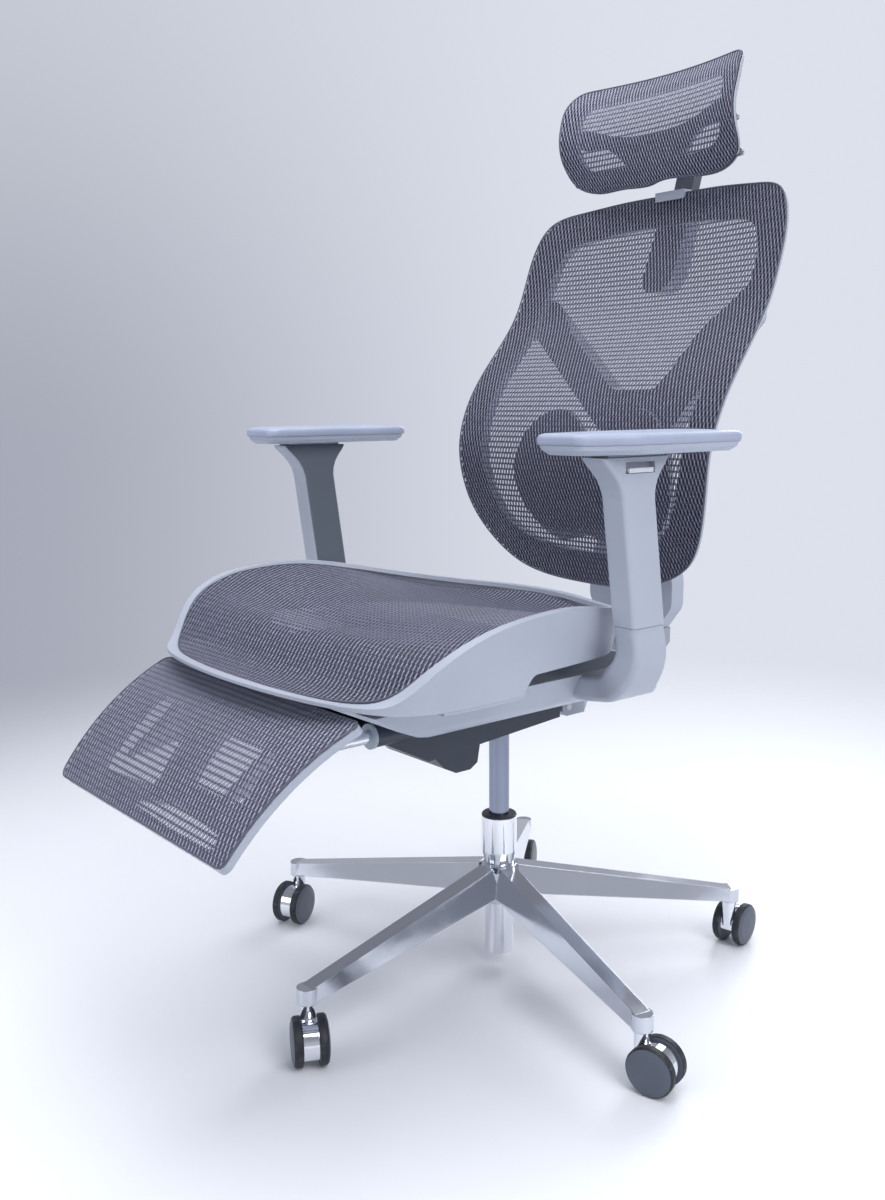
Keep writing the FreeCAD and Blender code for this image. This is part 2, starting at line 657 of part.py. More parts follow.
def tray_solid(inset):
    """The tray's outer form, or the space inside its wall."""
    rise = 1 if inset else 0
    top = TRAY_RIM + rise
    low = TRAY_LOW + inset
    front = -mm("tray_front") + inset
    rear = mm("tray_rear") - inset
    half = mm("tray_width") / 2 - inset
    side = [
        V(0, front, top), V(0, front + 37, top - 22), V(0, front + 86, low + 27),
        V(0, front + 122, low + 14), V(0, front + 200, low), V(0, rear - 12, low),
        V(0, rear, low + 14), V(0, rear, top),
    ]
    side_face = Part.Face(rounded_wire(side, [0, 60, 90, 90, 120, 10, 14, 0]))
    side_solid = side_face.extrude(V(2 * half, 0, 0)).translated(V(-half, 0, 0))
    return side_solid.common(tray_across(inset, rise, front, rear))


tray = tray_solid(0).cut(tray_solid(mm("tray_wall")))
for side in (-1, 1):
    start = V(side * SLEEVE_X, -mm("tray_front") - 5, mm("sleeve_height"))
    end = V(start.x, -mm("sleeve_end") + 1, start.z)
    tray = tray.cut(rod(mm("sleeve_radius") + GAP, start, end))
shaped("carrier_tray", tray.removeSplitter())

# Arm brackets: elbows lofted from the tray's side to the upright sleeve, with a socket for the rail

LEAN = math.radians(mm("arm_lean"))
SEAM = TRAY_RIM + mm("bracket_rise")
POST_FOOT = SEAM + GAP
POST_TOP = POST_FOOT + mm("post_height")
RAIL_FOOT = SEAM - mm("rail_socket")
RAIL_TOP = SEAM + mm("rail_height")


def arm_centre(height, side):
    """A point on the leaning middle line of an arm post."""
    shift = (height - SEAM) * math.tan(LEAN)
    return V(side * mm("arm_middle"), -mm("arm_seam_y") - shift, height)


def soft_section(middle, across, along, half_across, half_along, radius):
    """A rectangle with rounded corners, spanned by two directions."""
    signs = ((-1, -1), (1, -1), (1, 1), (-1, 1))
    points = [middle + across * (a * half_across) + along * (b * half_along) for a, b in signs]
    return rounded_wire(points, [radius] * 4)


def bracket_section(x, z, tilt, thickness, front, rear, side):
    """A section of the elbow, tilted about Y from upright to level."""
    angle = math.radians(tilt)
    across = V(-math.sin(angle) * side, 0, math.cos(angle))
    middle = V(x * side, (front + rear) / 2, z)
    return soft_section(middle, across, Y_AXIS, thickness / 2, (rear - front) / 2, 8)


def rail_solid(side, low, high, clearance):
    """The leaning inner rail, or the socket that holds it."""
    half_x = mm("rail_thickness") / 2 + clearance
    half_y = mm("rail_length") / 2 + clearance
    foot, head = arm_centre(low, side), arm_centre(high, side)
    wire = soft_section(foot, X_AXIS, Y_AXIS, half_x, half_y, 4)
    return Part.Face(wire).extrude(head - foot)


def arm_bracket(side):
    middle = mm("arm_middle")
    wall = mm("tray_width") / 2
    half = mm("post_length") / 2 + 0.5
    cuff = mm("post_thickness") + 1
    bend = arm_centre(SEAM - 34, 1).y
    seam = arm_centre(SEAM, 1).y
    elbow = Part.makeLoft([
        bracket_section(wall - 14, TRAY_RIM - 17, 0, 32, -70, 58, side),
        bracket_section(wall + 18, TRAY_RIM - 13, 8, 32, -76, 40, side),
        bracket_section(middle - 36, TRAY_RIM - 5, 18, 34, -87, -2, side),
        bracket_section(middle - 14, TRAY_RIM + 9, 44, 36, -97, -32, side),
        bracket_section(middle - 1, SEAM - 42, 74, cuff + 1, bend - half - 2, bend + half, side),
        bracket_section(middle, SEAM - 22, 90, cuff, bend - half, bend + half, side),
        bracket_section(middle, SEAM, 90, cuff, seam - half, seam + half, side),
    ], True, False)
    return elbow.cut(rail_solid(side, RAIL_FOOT, SEAM + 10, 0.2)).cut(tray_across(0, 8, -200, 200))


for side, name in ((1, "left"), (-1, "right")):
    shaped(f"arm_bracket_{name}", arm_bracket(side))
    shaped(f"arm_rail_{name}", rail_solid(side, RAIL_FOOT, RAIL_TOP, 0))

# Arm posts: a leaning shaft that widens into a head, hollow for the rail, with a button under the pad

POST_FLARE = [(44, 0.0), (34, 0.08), (24, 0.26), (15, 0.54), (8, 0.8), (3, 0.96), (0, 1.0)]
SLOT_DEPTH = 8
SLOT_DROP = 17


def arm_post(side):
    half_x = mm("post_thickness") / 2
    half_y = mm("post_length") / 2
    spread = mm("post_head_length") / 2 - half_y
    heights = [(POST_FOOT, 0.0)] + [(POST_TOP - drop, share) for drop, share in POST_FLARE]
    sections = []
    for height, share in heights:
        middle = arm_centre(height, side)
        sections.append(soft_section(middle, X_AXIS, Y_AXIS, half_x, half_y + spread * share, 5))
    post = Part.makeLoft(sections, True, True)
    post = post.cut(rail_solid(side, POST_FOOT - 5, RAIL_TOP + 4, 0.5))
    top = arm_centre(POST_TOP, side)
    outer = top.x + side * half_x
    low = POST_TOP - SLOT_DROP
    near, far = sorted((outer + side, outer - side * SLOT_DEPTH))
    return post.cut(box(near, far, top.y - 18, top.y + 28, low, low + 12))


def arm_button(side):
    """A tab in the slot with room above it to be pulled up."""
    top = arm_centre(POST_TOP, side)
    outer = top.x + side * mm("post_thickness") / 2
    low = POST_TOP - SLOT_DROP + 0.6
    near, far = sorted((outer + side * 1.4, outer - side * (SLOT_DEPTH - 0.4)))
    return box(near, far, top.y - 14, top.y + 24, low, low + 5)


for side, name in ((1, "left"), (-1, "right")):
    shaped(f"arm_post_{name}", arm_post(side))
    shaped(f"arm_button_{name}", arm_button(side))

# Arm pads: carriage plate, lower shell and soft upper pad, the outer front corner cut off


def pad_outline(side, height, inset):
    """The pad's plan, narrower at the front where its outer corner is cut off."""
    middle = mm("arm_middle")
    half = mm("pad_width") / 2 - inset
    centre = -mm("arm_seam_y")
    front = centre - mm("pad_length") / 2 + inset
    rear = centre + mm("pad_length") / 2 - inset
    cut = mm("pad_corner")
    points = [
        V(side * (middle - half), front, height), V(side * (middle + half - cut), front, height),
        V(side * (middle + half), front + 2.6 * cut, height), V(side * (middle + half), rear, height),
        V(side * (middle - half), rear, height),
    ]
    return rounded_wire(points, [14, 12, 30, 12, 12])


for side, name in ((1, "left"), (-1, "right")):
    base = POST_TOP + GAP
    top = arm_centre(POST_TOP, side)
    plate = box(top.x - 14, top.x + 14, top.y - 42, top.y + 42, base, base + mm("carriage_depth"))
    shell_low = base + mm("carriage_depth") + GAP
    stud_foot = V(top.x, top.y, base)
    stud_head = V(top.x, top.y, shell_low + 6)
    stud = rod(mm("pad_pivot_radius"), stud_foot, stud_head)
    stud_bore = rod(mm("pad_pivot_radius") + mm("running_gap"), stud_foot, stud_head + Z_AXIS * GAP)
    shaped(f"arm_carriage_{name}", plate.fuse(stud))
    shell_high = shell_low + mm("pad_shell_depth")
    shell = [pad_outline(side, shell_low, 9), pad_outline(side, shell_low + 5, 3.5), pad_outline(side, shell_high, 2)]
    shaped(f"arm_pad_shell_{name}", Part.makeLoft(shell, True, True).cut(stud_bore))
    crown = [
        pad_outline(side, shell_high, 0.8), pad_outline(side, shell_high + 2, 0),
        pad_outline(side, shell_high + mm("pad_depth") - 4, 0),
        pad_outline(side, shell_high + mm("pad_depth") - 1.2, 1.4),
        pad_outline(side, shell_high + mm("pad_depth"), 5),
    ]
    shaped(f"arm_pad_{name}", Part.makeLoft(crown, True, True))

# Seat: the rim's height along the chair, then a ring with a skirt and the mesh stretched in it

SKIRT_FOOT = TRAY_RIM + 4
SEAT_RISE = [(0.0, 0.0), (0.1, 0.19), (0.18, 0.39), (0.33, 0.68), (0.48, 0.84), (0.63, 0.93), (0.85, 0.985), (1.0, 1.0)]
RISE_START = 0.1
CREST = 0.512


def seat_height(y):
    """Height of the rim at this distance behind the column."""
    length = mm("seat_front") + mm("seat_rear")
    share = (y + mm("seat_front")) / length
    front, side = mm("seat_front_rise"), mm("seat_side_rise")
    if share <= CREST:
        climb = through(SEAT_RISE, max((share - RISE_START) / (CREST - RISE_START), 0))
        return SKIRT_FOOT + front + (side - front) * climb
    fall = 0.5 - 0.5 * math.cos(math.pi * min((share - CREST) / (1 - CREST), 1))
    return SKIRT_FOOT + side + (mm("seat_rear_rise") - side) * fall


SEAT_OUTLINE = [
    (0.0, 0.0), (0.26, 0.006), (0.51, 0.024), (0.74, 0.058), (0.9, 0.112), (0.965, 0.165), (1.0, 0.255),
    (1.0, 0.36), (0.985, 0.47), (0.95, 0.63), (0.9, 0.747), (0.825, 0.805), (0.745, 0.85), (0.547, 0.912),
    (0.28, 0.976), (0.0, 1.0),
]


def seat_loop(inset, z):
    """The seat's plan at one height; its skirt flares upwards."""
    flare = (z - SKIRT_FOOT) / mm("seat_side_rise")
    half = (mm("seat_foot_width") + (mm("seat_width") - mm("seat_foot_width")) * flare) / 2 - inset
    length = mm("seat_front") + mm("seat_rear") - 2 * inset
    front = inset - mm("seat_front")
    return loop_wire(mirrored([V(half * x, front + length * y, z) for x, y in SEAT_OUTLINE]))


def seat_plan(inset):
    """The seat's flared plan pushed inwards, as a tall solid."""
    return Part.makeLoft([seat_loop(inset, SKIRT_FOOT - 90), seat_loop(inset, SKIRT_FOOT + 170)], True, True)


def seat_under(drop):
    """Everything under the rim's top surface lowered by drop, wider than the seat."""
    half = mm("seat_width") / 2 + 20
    ys = steps(-mm("seat_front") - 20, mm("seat_rear") + 20, 16)
    crest = [V(-half, y, seat_height(y) - drop) for y in ys]
    curve = Part.BSplineCurve()
    curve.interpolate(crest)
    low = SKIRT_FOOT - 60
    rear, front = V(-half, ys[-1], low), V(-half, ys[0], low)
    edges = [
        curve.toShape(), Part.LineSegment(crest[-1], rear).toShape(),
        Part.LineSegment(rear, front).toShape(), Part.LineSegment(front, crest[0]).toShape(),
    ]
    return Part.Face(Part.Wire(edges)).extrude(V(2 * half, 0, 0))


def under_skirt():
    """The space below the skirt, whose edge steps up behind the middle over the arm brackets."""
    half = mm("seat_width") / 2 + 20
    front, rear = -mm("seat_front") - 30, mm("seat_rear") + 30
    deep = SKIRT_FOOT - 100
    points = [
        V(-half, front, deep), V(-half, rear, deep), V(-half, rear, SKIRT_FOOT + 22),
        V(-half, -192, SKIRT_FOOT + 22), V(-half, -204, SKIRT_FOOT),
        V(-half, front + 90, SKIRT_FOOT), V(-half, front, SKIRT_FOOT + 8),
    ]
    wire = rounded_wire(points, [0, 0, 0, 12, 8, 60, 0])
    return Part.Face(wire).extrude(V(2 * half, 0, 0))


def seat_runner(side):
    """An inward shelf of the skirt that rests on the rim of the tray."""
    inner = side * (mm("tray_width") / 2 - 12)
    near, far = sorted((side * mm("seat_width") / 2, inner))
    shelf = box(near, far, 60 - mm("tray_front"), -200, TRAY_RIM + GAP, TRAY_RIM + 9)
    return shelf.common(seat_plan(1))


rim_thickness = 6
seat_shell = seat_plan(0).common(seat_under(0)).cut(under_skirt())
seat_room = seat_plan(mm("seat_wall")).common(seat_under(rim_thickness))
seat_frame = seat_shell.cut(seat_room).cut(seat_plan(mm("seat_rim")))
for side in (-1, 1):
    seat_frame = seat_frame.fuse(seat_runner(side))
shaped("seat_frame", seat_frame.removeSplitter())


def seat_surface(x, y):
    """The mesh between the rims, dished in the middle."""
    half = mm("seat_width") / 2
    length = mm("seat_front") + mm("seat_rear")
    middle = (mm("seat_rear") - mm("seat_front")) / 2
    across = max(1 - (x / half) ** 2, 0)
    lengthwise = max(1 - (2 * (y - middle) / length) ** 4, 0)
    along_roll = min(max((y + mm("seat_front")) / (0.3 * length), 0), 1)
    roll = mm("seat_roll") * math.sin(math.pi * along_roll)
    return V(x, y, seat_height(y) - 1 + (roll - mm("seat_dip") * lengthwise) * across)


half_seat = mm("seat_width") / 2
seat_net = grid_face(
    seat_surface, steps(-half_seat, half_seat, 7), steps(-mm("seat_front"), mm("seat_rear"), 18)
)
seat_net = seat_net.extrude(V(0, 0, -mm("mesh_thickness")))
shaped("seat_mesh", seat_net.common(seat_plan(mm("seat_rim") + GAP)))

# Back: the place of its edge behind the column and the hollow of its middle, at shares of its height

BACK_PROFILE = [
    (-0.02, 186), (0.052, 170), (0.124, 157), (0.196, 143), (0.268, 135), (0.341, 133), (0.413, 142),
    (0.485, 161), (0.557, 189), (0.629, 221), (0.701, 248), (0.773, 265), (0.845, 278), (0.917, 289),
    (1.0, 303), (1.061, 315),
]
BACK_HOLLOW = [(-0.02, 4), (0.413, 6), (0.593, 14), (0.845, 26), (1.0, 35), (1.061, 37)]
BACK_OUTLINE = [
    (0.0, 0.0), (0.48, 0.02), (0.76, 0.08), (0.91, 0.18), (0.985, 0.345), (1.0, 0.532),
    (0.978, 0.766), (0.955, 0.893), (0.88, 0.956), (0.66, 0.985), (0.34, 0.998), (0.0, 1.0),
]
BACK_FOOT = mm("back_foot")
BACK_TOP = BACK_FOOT + mm("back_height")
DRAW = 700


def up_back(share):
    """The height at this share of the back."""
    return BACK_FOOT + share * mm("back_height")


def back_surface(x, z, offset=0.0):
    share = (z - BACK_FOOT) / mm("back_height")
    hollow = through(BACK_HOLLOW, share) * (1 - (x / mm("back_half_width")) ** 2)
    return V(x, through(BACK_PROFILE, share) + hollow + offset, z)


def back_slab(front, rear, low=-0.02, high=1.06):
    """A curved plate that follows the back between two offsets."""
    half = mm("back_half_width") + 10

    def place(x, z):
        return back_surface(x, z, front)

    face = grid_face(place, steps(-half, half, 5), steps(up_back(low), up_back(high), 16))
    return face.extrude(V(0, rear - front, 0))


def scaled_plan(table, width, low, high, inset):
    """A front outline given by shares, pushed inwards and drawn out along Y."""
    middle = (low + high) / 2
    shrink = 1 - 2 * inset / (high - low)
    half = []
    for across, up in table:
        z = low + up * (high - low)
        half.append(V(across * (width - inset), 0, middle + (z - middle) * shrink))
    return loop_face(mirrored(half)).extrude(V(0, DRAW, 0))


def back_plan(inset):
    return scaled_plan(BACK_OUTLINE, mm("back_half_width"), BACK_FOOT, BACK_TOP, inset)


NET = mm("mesh_thickness")
RING_FRONT = NET + GAP
RING_REAR = RING_FRONT + mm("back_depth")
flange = back_slab(RING_FRONT, RING_FRONT + mm("back_flange")).common(back_plan(1.5))
ring = back_slab(RING_FRONT, RING_REAR).common(back_plan(mm("back_flange_width")))
shaped("back_frame", flange.fuse(ring).cut(back_plan(mm("back_band"))))
shaped("back_mesh", back_slab(0, NET).common(back_plan(1)))

# Y support: two arms sweep from the frame's sides to the spine behind the lumbar

SPINE_HALF = mm("spine_half_width")
SPINE_FOOT_HALF = mm("spine_foot_half_width")
SPINE_FOOT = BACK_FOOT - mm("spine_drop")
PLANE = mm("support_plane")
y_half = [
    V(SPINE_HALF, 0, SPINE_FOOT), V(SPINE_FOOT_HALF, 0, SPINE_FOOT + 34), V(SPINE_FOOT_HALF, 0, up_back(0.01)),
    V(SPINE_HALF, 0, up_back(0.18)), V(SPINE_HALF, 0, up_back(0.368)),
    V(206, 0, up_back(0.655)), V(204, 0, up_back(0.745)), V(178, 0, up_back(0.745)), V(40, 0, up_back(0.496)),
]
y_radii = [6, 24, 60, 60, 45, 14, 10, 22, 36]
y_points = y_half + [V(-p.x, 0, p.z) for p in reversed(y_half)]
y_wire = rounded_wire(y_points, y_radii + list(reversed(y_radii)))
y_solid = Part.Face(y_wire).extrude(V(0, mm("support_depth"), 0)).translated(V(0, PLANE, 0))
shaped("back_support", y_solid.cut(back_slab(-60, RING_REAR + GAP)))

# Back link: cheeks round the recline hinge run into a beam that bends up to the spine

link = new_body("back_link")
PIVOT_Y = "sizes.recline_pivot_y"
PIVOT_Z = "sizes.recline_pivot_z"
LINK_TOP = "(sizes.back_foot - sizes.spine_drop - sizes.seat_gap)"
LINK_REAR = "(sizes.support_plane + sizes.support_depth + 4)"
link_profile = outline(link, "link_side", "YZ_Plane", [
    (f"{PIVOT_Y} - 12", f"{PIVOT_Z} + 5"),
    (f"{PIVOT_Y} - 12", f"{PIVOT_Z} - 5"),
    (f"{PIVOT_Y} - 5", f"{PIVOT_Z} - 12"),
    (f"{PIVOT_Y} + 40", f"{PIVOT_Z} - 12"),
    (f"{PIVOT_Y} + 130", f"{PIVOT_Z} - 4"),
    (f"{PIVOT_Y} + 210", f"{PIVOT_Z} + 16"),
    (LINK_REAR, f"{LINK_TOP} - 22"),
    (LINK_REAR, LINK_TOP),
    ("sizes.support_plane - 8", LINK_TOP),
    ("sizes.support_plane - 18", f"{LINK_TOP} - 26"),
    (f"{PIVOT_Y} + 150", f"{PIVOT_Z} + 24"),
    (f"{PIVOT_Y} + 80", f"{PIVOT_Z} + 13"),
    (f"{PIVOT_Y} - 5", f"{PIVOT_Z} + 12"),
])
pad(link, "link_pad", link_profile, "sizes.housing_width", midplane=True)
CHEEK = "(sizes.housing_width / 2 - 19.7)"
slot_profile = outline(link, "link_slot", "XY_Plane", [
    (f"-{CHEEK}", "0"), (CHEEK, "0"), (CHEEK, f"{PIVOT_Y} + 34"), (f"-{CHEEK}", f"{PIVOT_Y} + 34"),
])
pocket(link, "link_slot_cut", slot_profile, "sizes.back_foot", back=True)
for name, sign in (("left", ""), ("right", "-1 * ")):
    waist_profile = outline(link, f"link_waist_{name}", "XY_Plane", [
        (f"{sign}(sizes.housing_width / 2 + 2)", f"{PIVOT_Y} + 26"),
        (f"{sign}sizes.spine_half_width", f"{PIVOT_Y} + 74"),
        (f"{sign}sizes.spine_half_width", f"{LINK_REAR} + 6"),
        (f"{sign}(sizes.housing_width / 2 + 2)", f"{LINK_REAR} + 6"),
    ])
    pocket(link, f"link_waist_{name}_cut", waist_profile, "sizes.back_foot", back=True)
link_bore = disc(link, "link_bore", "YZ_Plane", "sizes.recline_pin_radius + sizes.running_gap",
                 (PIVOT_Y, PIVOT_Z))
pocket(link, "link_bore_cut", link_bore, "sizes.housing_width + 4", midplane=True)

pin = new_body("recline_pin")
pin_circle = disc(pin, "pin_circle", "YZ_Plane", "sizes.recline_pin_radius", (PIVOT_Y, PIVOT_Z))
pad(pin, "pin_pad", pin_circle, "sizes.housing_width + 1", midplane=True)

# Lumbar: two round lobes joined in the middle, on a carriage that slides on the spine

LOBE_Z = BACK_FOOT + mm("lobe_rise")
LOBE_HALF = [(0, -1.05), (1, -1.13), (1.75, -0.62), (2.02, 0.1), (1.8, 0.95), (1.15, 1.45), (0.45, 1.25), (0, 0.95)]
LOBE_FRONT = mm("lumbar_offset")
LOBE_REAR = LOBE_FRONT + mm("lumbar_depth")
lobe_radius = mm("lobe_radius")
lobes = [V(x * lobe_radius, 0, LOBE_Z + z * lobe_radius) for x, z in LOBE_HALF]
lobe_plan = loop_face(mirrored(lobes)).extrude(V(0, DRAW, 0))
shaped("lumbar_pad", back_slab(LOBE_FRONT, LOBE_REAR, 0.06, 0.56).common(lobe_plan))
carriage_front = back_surface(0, LOBE_Z, LOBE_REAR).y - 14
carriage = box(-26, 26, carriage_front, PLANE - GAP, LOBE_Z - 24, LOBE_Z + 24)
shaped("lumbar_carriage", carriage.cut(back_slab(-60, LOBE_REAR, 0.06, 0.56)))

# Clip on the back's top edge

clip_y = back_surface(0, BACK_TOP).y
clip = box(-26, 26, clip_y - 6, clip_y + 14, BACK_TOP - 9, BACK_TOP + 4)
shaped("back_clip", clip.cut(back_slab(-GAP, RING_REAR + GAP).common(back_plan(-GAP))))

# Headrest guide behind the frame's top, and the stem that slides in it

GUIDE_TOP = BACK_TOP - 10
GUIDE_FOOT = GUIDE_TOP - mm("guide_length")
GUIDE_LEAN = math.radians(mm("guide_lean"))
STEM_Y = back_surface(0, BACK_TOP).y + 30


def guide_centre(z):
    return V(0, STEM_Y + (z - BACK_TOP) * math.tan(GUIDE_LEAN), z)


def leaning_bar(low, high, half_width, front, rear):
    """A bar along the guide's middle line, with level ends."""
    a, b = guide_centre(low), guide_centre(high)
    points = [
        V(-half_width, a.y - front, low), V(-half_width, a.y + rear, low),
        V(-half_width, b.y + rear, high), V(-half_width, b.y - front, high),
    ]
    return Part.Face(Part.makePolygon(points + points[:1])).extrude(V(2 * half_width, 0, 0))


guide_half = mm("guide_width") / 2
guide_rear = mm("guide_depth") / 2
guide = leaning_bar(GUIDE_FOOT, GUIDE_TOP, guide_half, guide_rear + 18, guide_rear)
tongue = rounded_wire([
    V(-guide_half, 0, GUIDE_FOOT), V(guide_half, 0, GUIDE_FOOT),
    V(guide_half, 0, GUIDE_TOP + 1), V(-guide_half, 0, GUIDE_TOP + 1),
], [guide_half - 1, guide_half - 1, 4, 4])
guide = guide.common(Part.Face(tongue).extrude(V(0, DRAW, 0))).cut(back_slab(-60, RING_REAR + GAP))
slot_x, slot_y = mm("stem_width") / 2 + GAP, mm("stem_depth") / 2 + GAP
shaped("headrest_guide", guide.cut(leaning_bar(GUIDE_FOOT + 12, GUIDE_TOP + 10, slot_x, slot_y, slot_y)))

HEAD_PIVOT_Z = BACK_TOP + mm("head_pivot_rise")
PIN = mm("head_pin_radius")
PIN_BORE = PIN + mm("running_gap")
head_pivot = guide_centre(HEAD_PIVOT_Z) + V(0, 4, 0)
stem_half = X_AXIS * (mm("stem_width") / 2)
stem = leaning_bar(GUIDE_FOOT + 16, HEAD_PIVOT_Z, stem_half.x, mm("stem_depth") / 2, mm("stem_depth") / 2)
stem = stem.fuse(rod(PIN + 5, head_pivot - stem_half, head_pivot + stem_half))
stem = stem.cut(rod(PIN_BORE, head_pivot - stem_half * 2, head_pivot + stem_half * 2))
shaped("headrest_stem", stem.removeSplitter())

# Headrest: hollow across, rolled back at its top edge; places behind the back's top at shares of its height

HEAD_PROFILE = [
    (-0.12, 3), (0.0, -6), (0.1, -13), (0.2, -17), (0.35, -20), (0.5, -20), (0.65, -15), (0.8, -6), (0.9, 6),
    (1.0, 24), (1.08, 43),
]
HEAD_HOLLOW = [
    (-0.12, -0.35), (0.0, -0.2), (0.1, -0.05), (0.2, 0.18), (0.33, 0.55), (0.5, 0.78), (0.8, 0.92), (1.0, 1.25),
    (1.08, 1.4),
]
HEAD_OUTLINE = [
    (0.0, 0.0), (0.4, 0.0), (0.78, 0.02), (0.94, 0.12), (0.99, 0.32), (1.0, 0.6),
    (0.99, 0.84), (0.93, 0.96), (0.78, 0.995), (0.4, 1.0), (0.0, 1.0),
]
HEAD_FOOT = BACK_TOP + mm("head_gap")
HEAD_TOP = HEAD_FOOT + mm("head_height")
EDGE_Y = BACK_PROFILE[-2][1]


def head_surface(x, z, offset=0.0):
    share = (z - HEAD_FOOT) / mm("head_height")
    hollow = mm("head_hollow") * through(HEAD_HOLLOW, share) * (x / mm("head_half_width")) ** 2
    return V(x, EDGE_Y + through(HEAD_PROFILE, share) - hollow + offset, z)


def head_slab(front, rear):
    half = mm("head_half_width") + 8

    def place(x, z):
        return head_surface(x, z, front)

    face = grid_face(place, steps(-half, half, 5), steps(HEAD_FOOT - 12, HEAD_TOP + 10, 12))
    return face.extrude(V(0, rear - front, 0))


def head_plan(inset):
    return scaled_plan(HEAD_OUTLINE, mm("head_half_width"), HEAD_FOOT, HEAD_TOP, inset)


HEAD_REAR = RING_FRONT + mm("head_depth")
head_edge = head_slab(RING_FRONT, RING_FRONT + 3).common(head_plan(0))
head_ring = head_slab(RING_FRONT, HEAD_REAR).common(head_plan(mm("head_flange")))
shaped("headrest_frame", head_edge.fuse(head_ring).cut(head_plan(mm("head_band"))))
shaped("headrest_mesh", head_slab(0, NET).common(head_plan(0.8)))

# Headrest bracket: a winged plate behind the frame with two ears round the stem's eye

WING_HALF = [(0, -24), (34, -22), (60, 0), (96, 22), (134, 30), (136, 48), (100, 45), (52, 32), (0, 30)]
WING_DEPTH = 7
EAR_WIDTH = 8
wing_half = [V(x, 0, HEAD_PIVOT_Z + z) for x, z in WING_HALF]
bracket = head_slab(HEAD_REAR + GAP, HEAD_REAR + GAP + WING_DEPTH)
bracket = bracket.common(loop_face(mirrored(wing_half)).extrude(V(0, DRAW, 0)))
ear_inner = stem_half.x + GAP
for side in (-1, 1):
    x = min(side * ear_inner, side * (ear_inner + EAR_WIDTH))
    start = V(x, head_pivot.y, head_pivot.z)
    ear = rod(PIN + 5, start, start + X_AXIS * EAR_WIDTH)
    low, high = head_pivot.z - PIN - 5, head_pivot.z + PIN + 5
    ear = ear.fuse(box(x, x + EAR_WIDTH, EDGE_Y - 17, head_pivot.y, low, high))
    bracket = bracket.fuse(ear.cut(head_slab(-60, HEAD_REAR + GAP + 2)))
pin_reach = X_AXIS * (ear_inner + EAR_WIDTH + 2)
bracket = bracket.cut(rod(PIN_BORE, head_pivot - pin_reach, head_pivot + pin_reach))
shaped("headrest_bracket", bracket.removeSplitter())
shaped("headrest_pin", rod(PIN, head_pivot - pin_reach, head_pivot + pin_reach))

# Footrest: modelled level with its rear edge at the origin, then sloped into place

FOOT_PLACE = FreeCAD.Placement(
    V(0, -mm("foot_rear_y"), mm("sleeve_height") + mm("foot_rear_rise")),
    FreeCAD.Rotation(X_AXIS, mm("foot_slope")),
)
FOOT_LENGTH = mm("foot_length")
FOOT_REAR_HALF = mm("foot_rear_width") / 2
FOOT_FRONT_HALF = mm("foot_front_width") / 2
FOOT_PIVOT = V(0, -mm("foot_pivot_y"), mm("sleeve_height"))


def foot_slab(upper, lower):
    """A crowned plate along the footrest between two depths under its skin."""
    x = -FOOT_REAR_HALF - 10
    front, middle, rear = V(x, -FOOT_LENGTH, 0), V(x, -FOOT_LENGTH / 2, mm("foot_bulge")), V(x, 0, 0)
    arc = Part.Arc(front, middle, rear).toShape()
    edges = [arc.translated(V(0, 0, -upper)), arc.translated(V(0, 0, -lower))]
    for end in (front, rear):
        edges.append(Part.LineSegment(end - Z_AXIS * upper, end - Z_AXIS * lower).toShape())
    face = Part.Face(Part.Wire(Part.__sortEdges__(edges)))
    return face.extrude(V(-2 * x, 0, 0))


def foot_plan(corners, radii):
    """A prism over (across, share of the length) corners."""
    points = [V(x, -FOOT_LENGTH * share, -80) for x, share in corners]
    return Part.Face(rounded_wire(points, radii)).extrude(V(0, 0, 160))


foot_outer = foot_plan(
    [(-FOOT_REAR_HALF, 0), (-FOOT_FRONT_HALF, 1), (FOOT_FRONT_HALF, 1), (FOOT_REAR_HALF, 0)], [10, 12, 12, 10]
)
LEAF = [(4, 0.8), (-12, 0.52), (-58, 0.28), (-FOOT_REAR_HALF + 76, 0.28), (-FOOT_FRONT_HALF + 70, 0.84)]
PANE = [(38, 0.34), (62, 0.69), (FOOT_FRONT_HALF - 30, 0.69), (FOOT_REAR_HALF - 62, 0.34)]
SLOT = [(-45, 0.925), (70, 0.945), (FOOT_FRONT_HALF - 28, 0.94), (FOOT_FRONT_HALF - 36, 0.86), (60, 0.82)]
windows = foot_plan(LEAF, [8, 40, 30, 10, 10])
windows = windows.fuse(foot_plan(PANE, [12] * 4)).fuse(foot_plan(SLOT, [3, 30, 6, 8, 30]))
FOOT_UNDER = RING_FRONT + mm("foot_depth")
foot_frame = foot_slab(RING_FRONT, FOOT_UNDER).common(foot_outer).cut(windows)

RIB_INNER = SLEEVE_X + mm("slide_rod_radius") + 6
RIB_WIDTH = 14
SHAFT = mm("foot_shaft_radius")


def foot_rib(side):
    """A fin under each side of the footrest; it carries the hinge boss."""
    x = min(side * RIB_INNER, side * (RIB_INNER + RIB_WIDTH))
    eye = FOOT_PLACE.inverse().multVec(FOOT_PIVOT)
    points = [
        V(x, -8, -2), V(x, eye.y + 16, eye.z + 2), V(x, eye.y + 8, eye.z - SHAFT - 7),
        V(x, eye.y - 10, eye.z - SHAFT - 7), V(x, -FOOT_LENGTH * 0.7, -4),
    ]
    web = Part.Face(Part.makePolygon(points + points[:1])).extrude(X_AXIS * RIB_WIDTH)
    near, far = V(x, eye.y, eye.z), V(x + RIB_WIDTH, eye.y, eye.z)
    web = web.fuse(rod(SHAFT + 7, near, far)).cut(foot_slab(-60, FOOT_UNDER - 1))
    return web.cut(rod(SHAFT + mm("running_gap"), near - X_AXIS * 5, far + X_AXIS * 5))


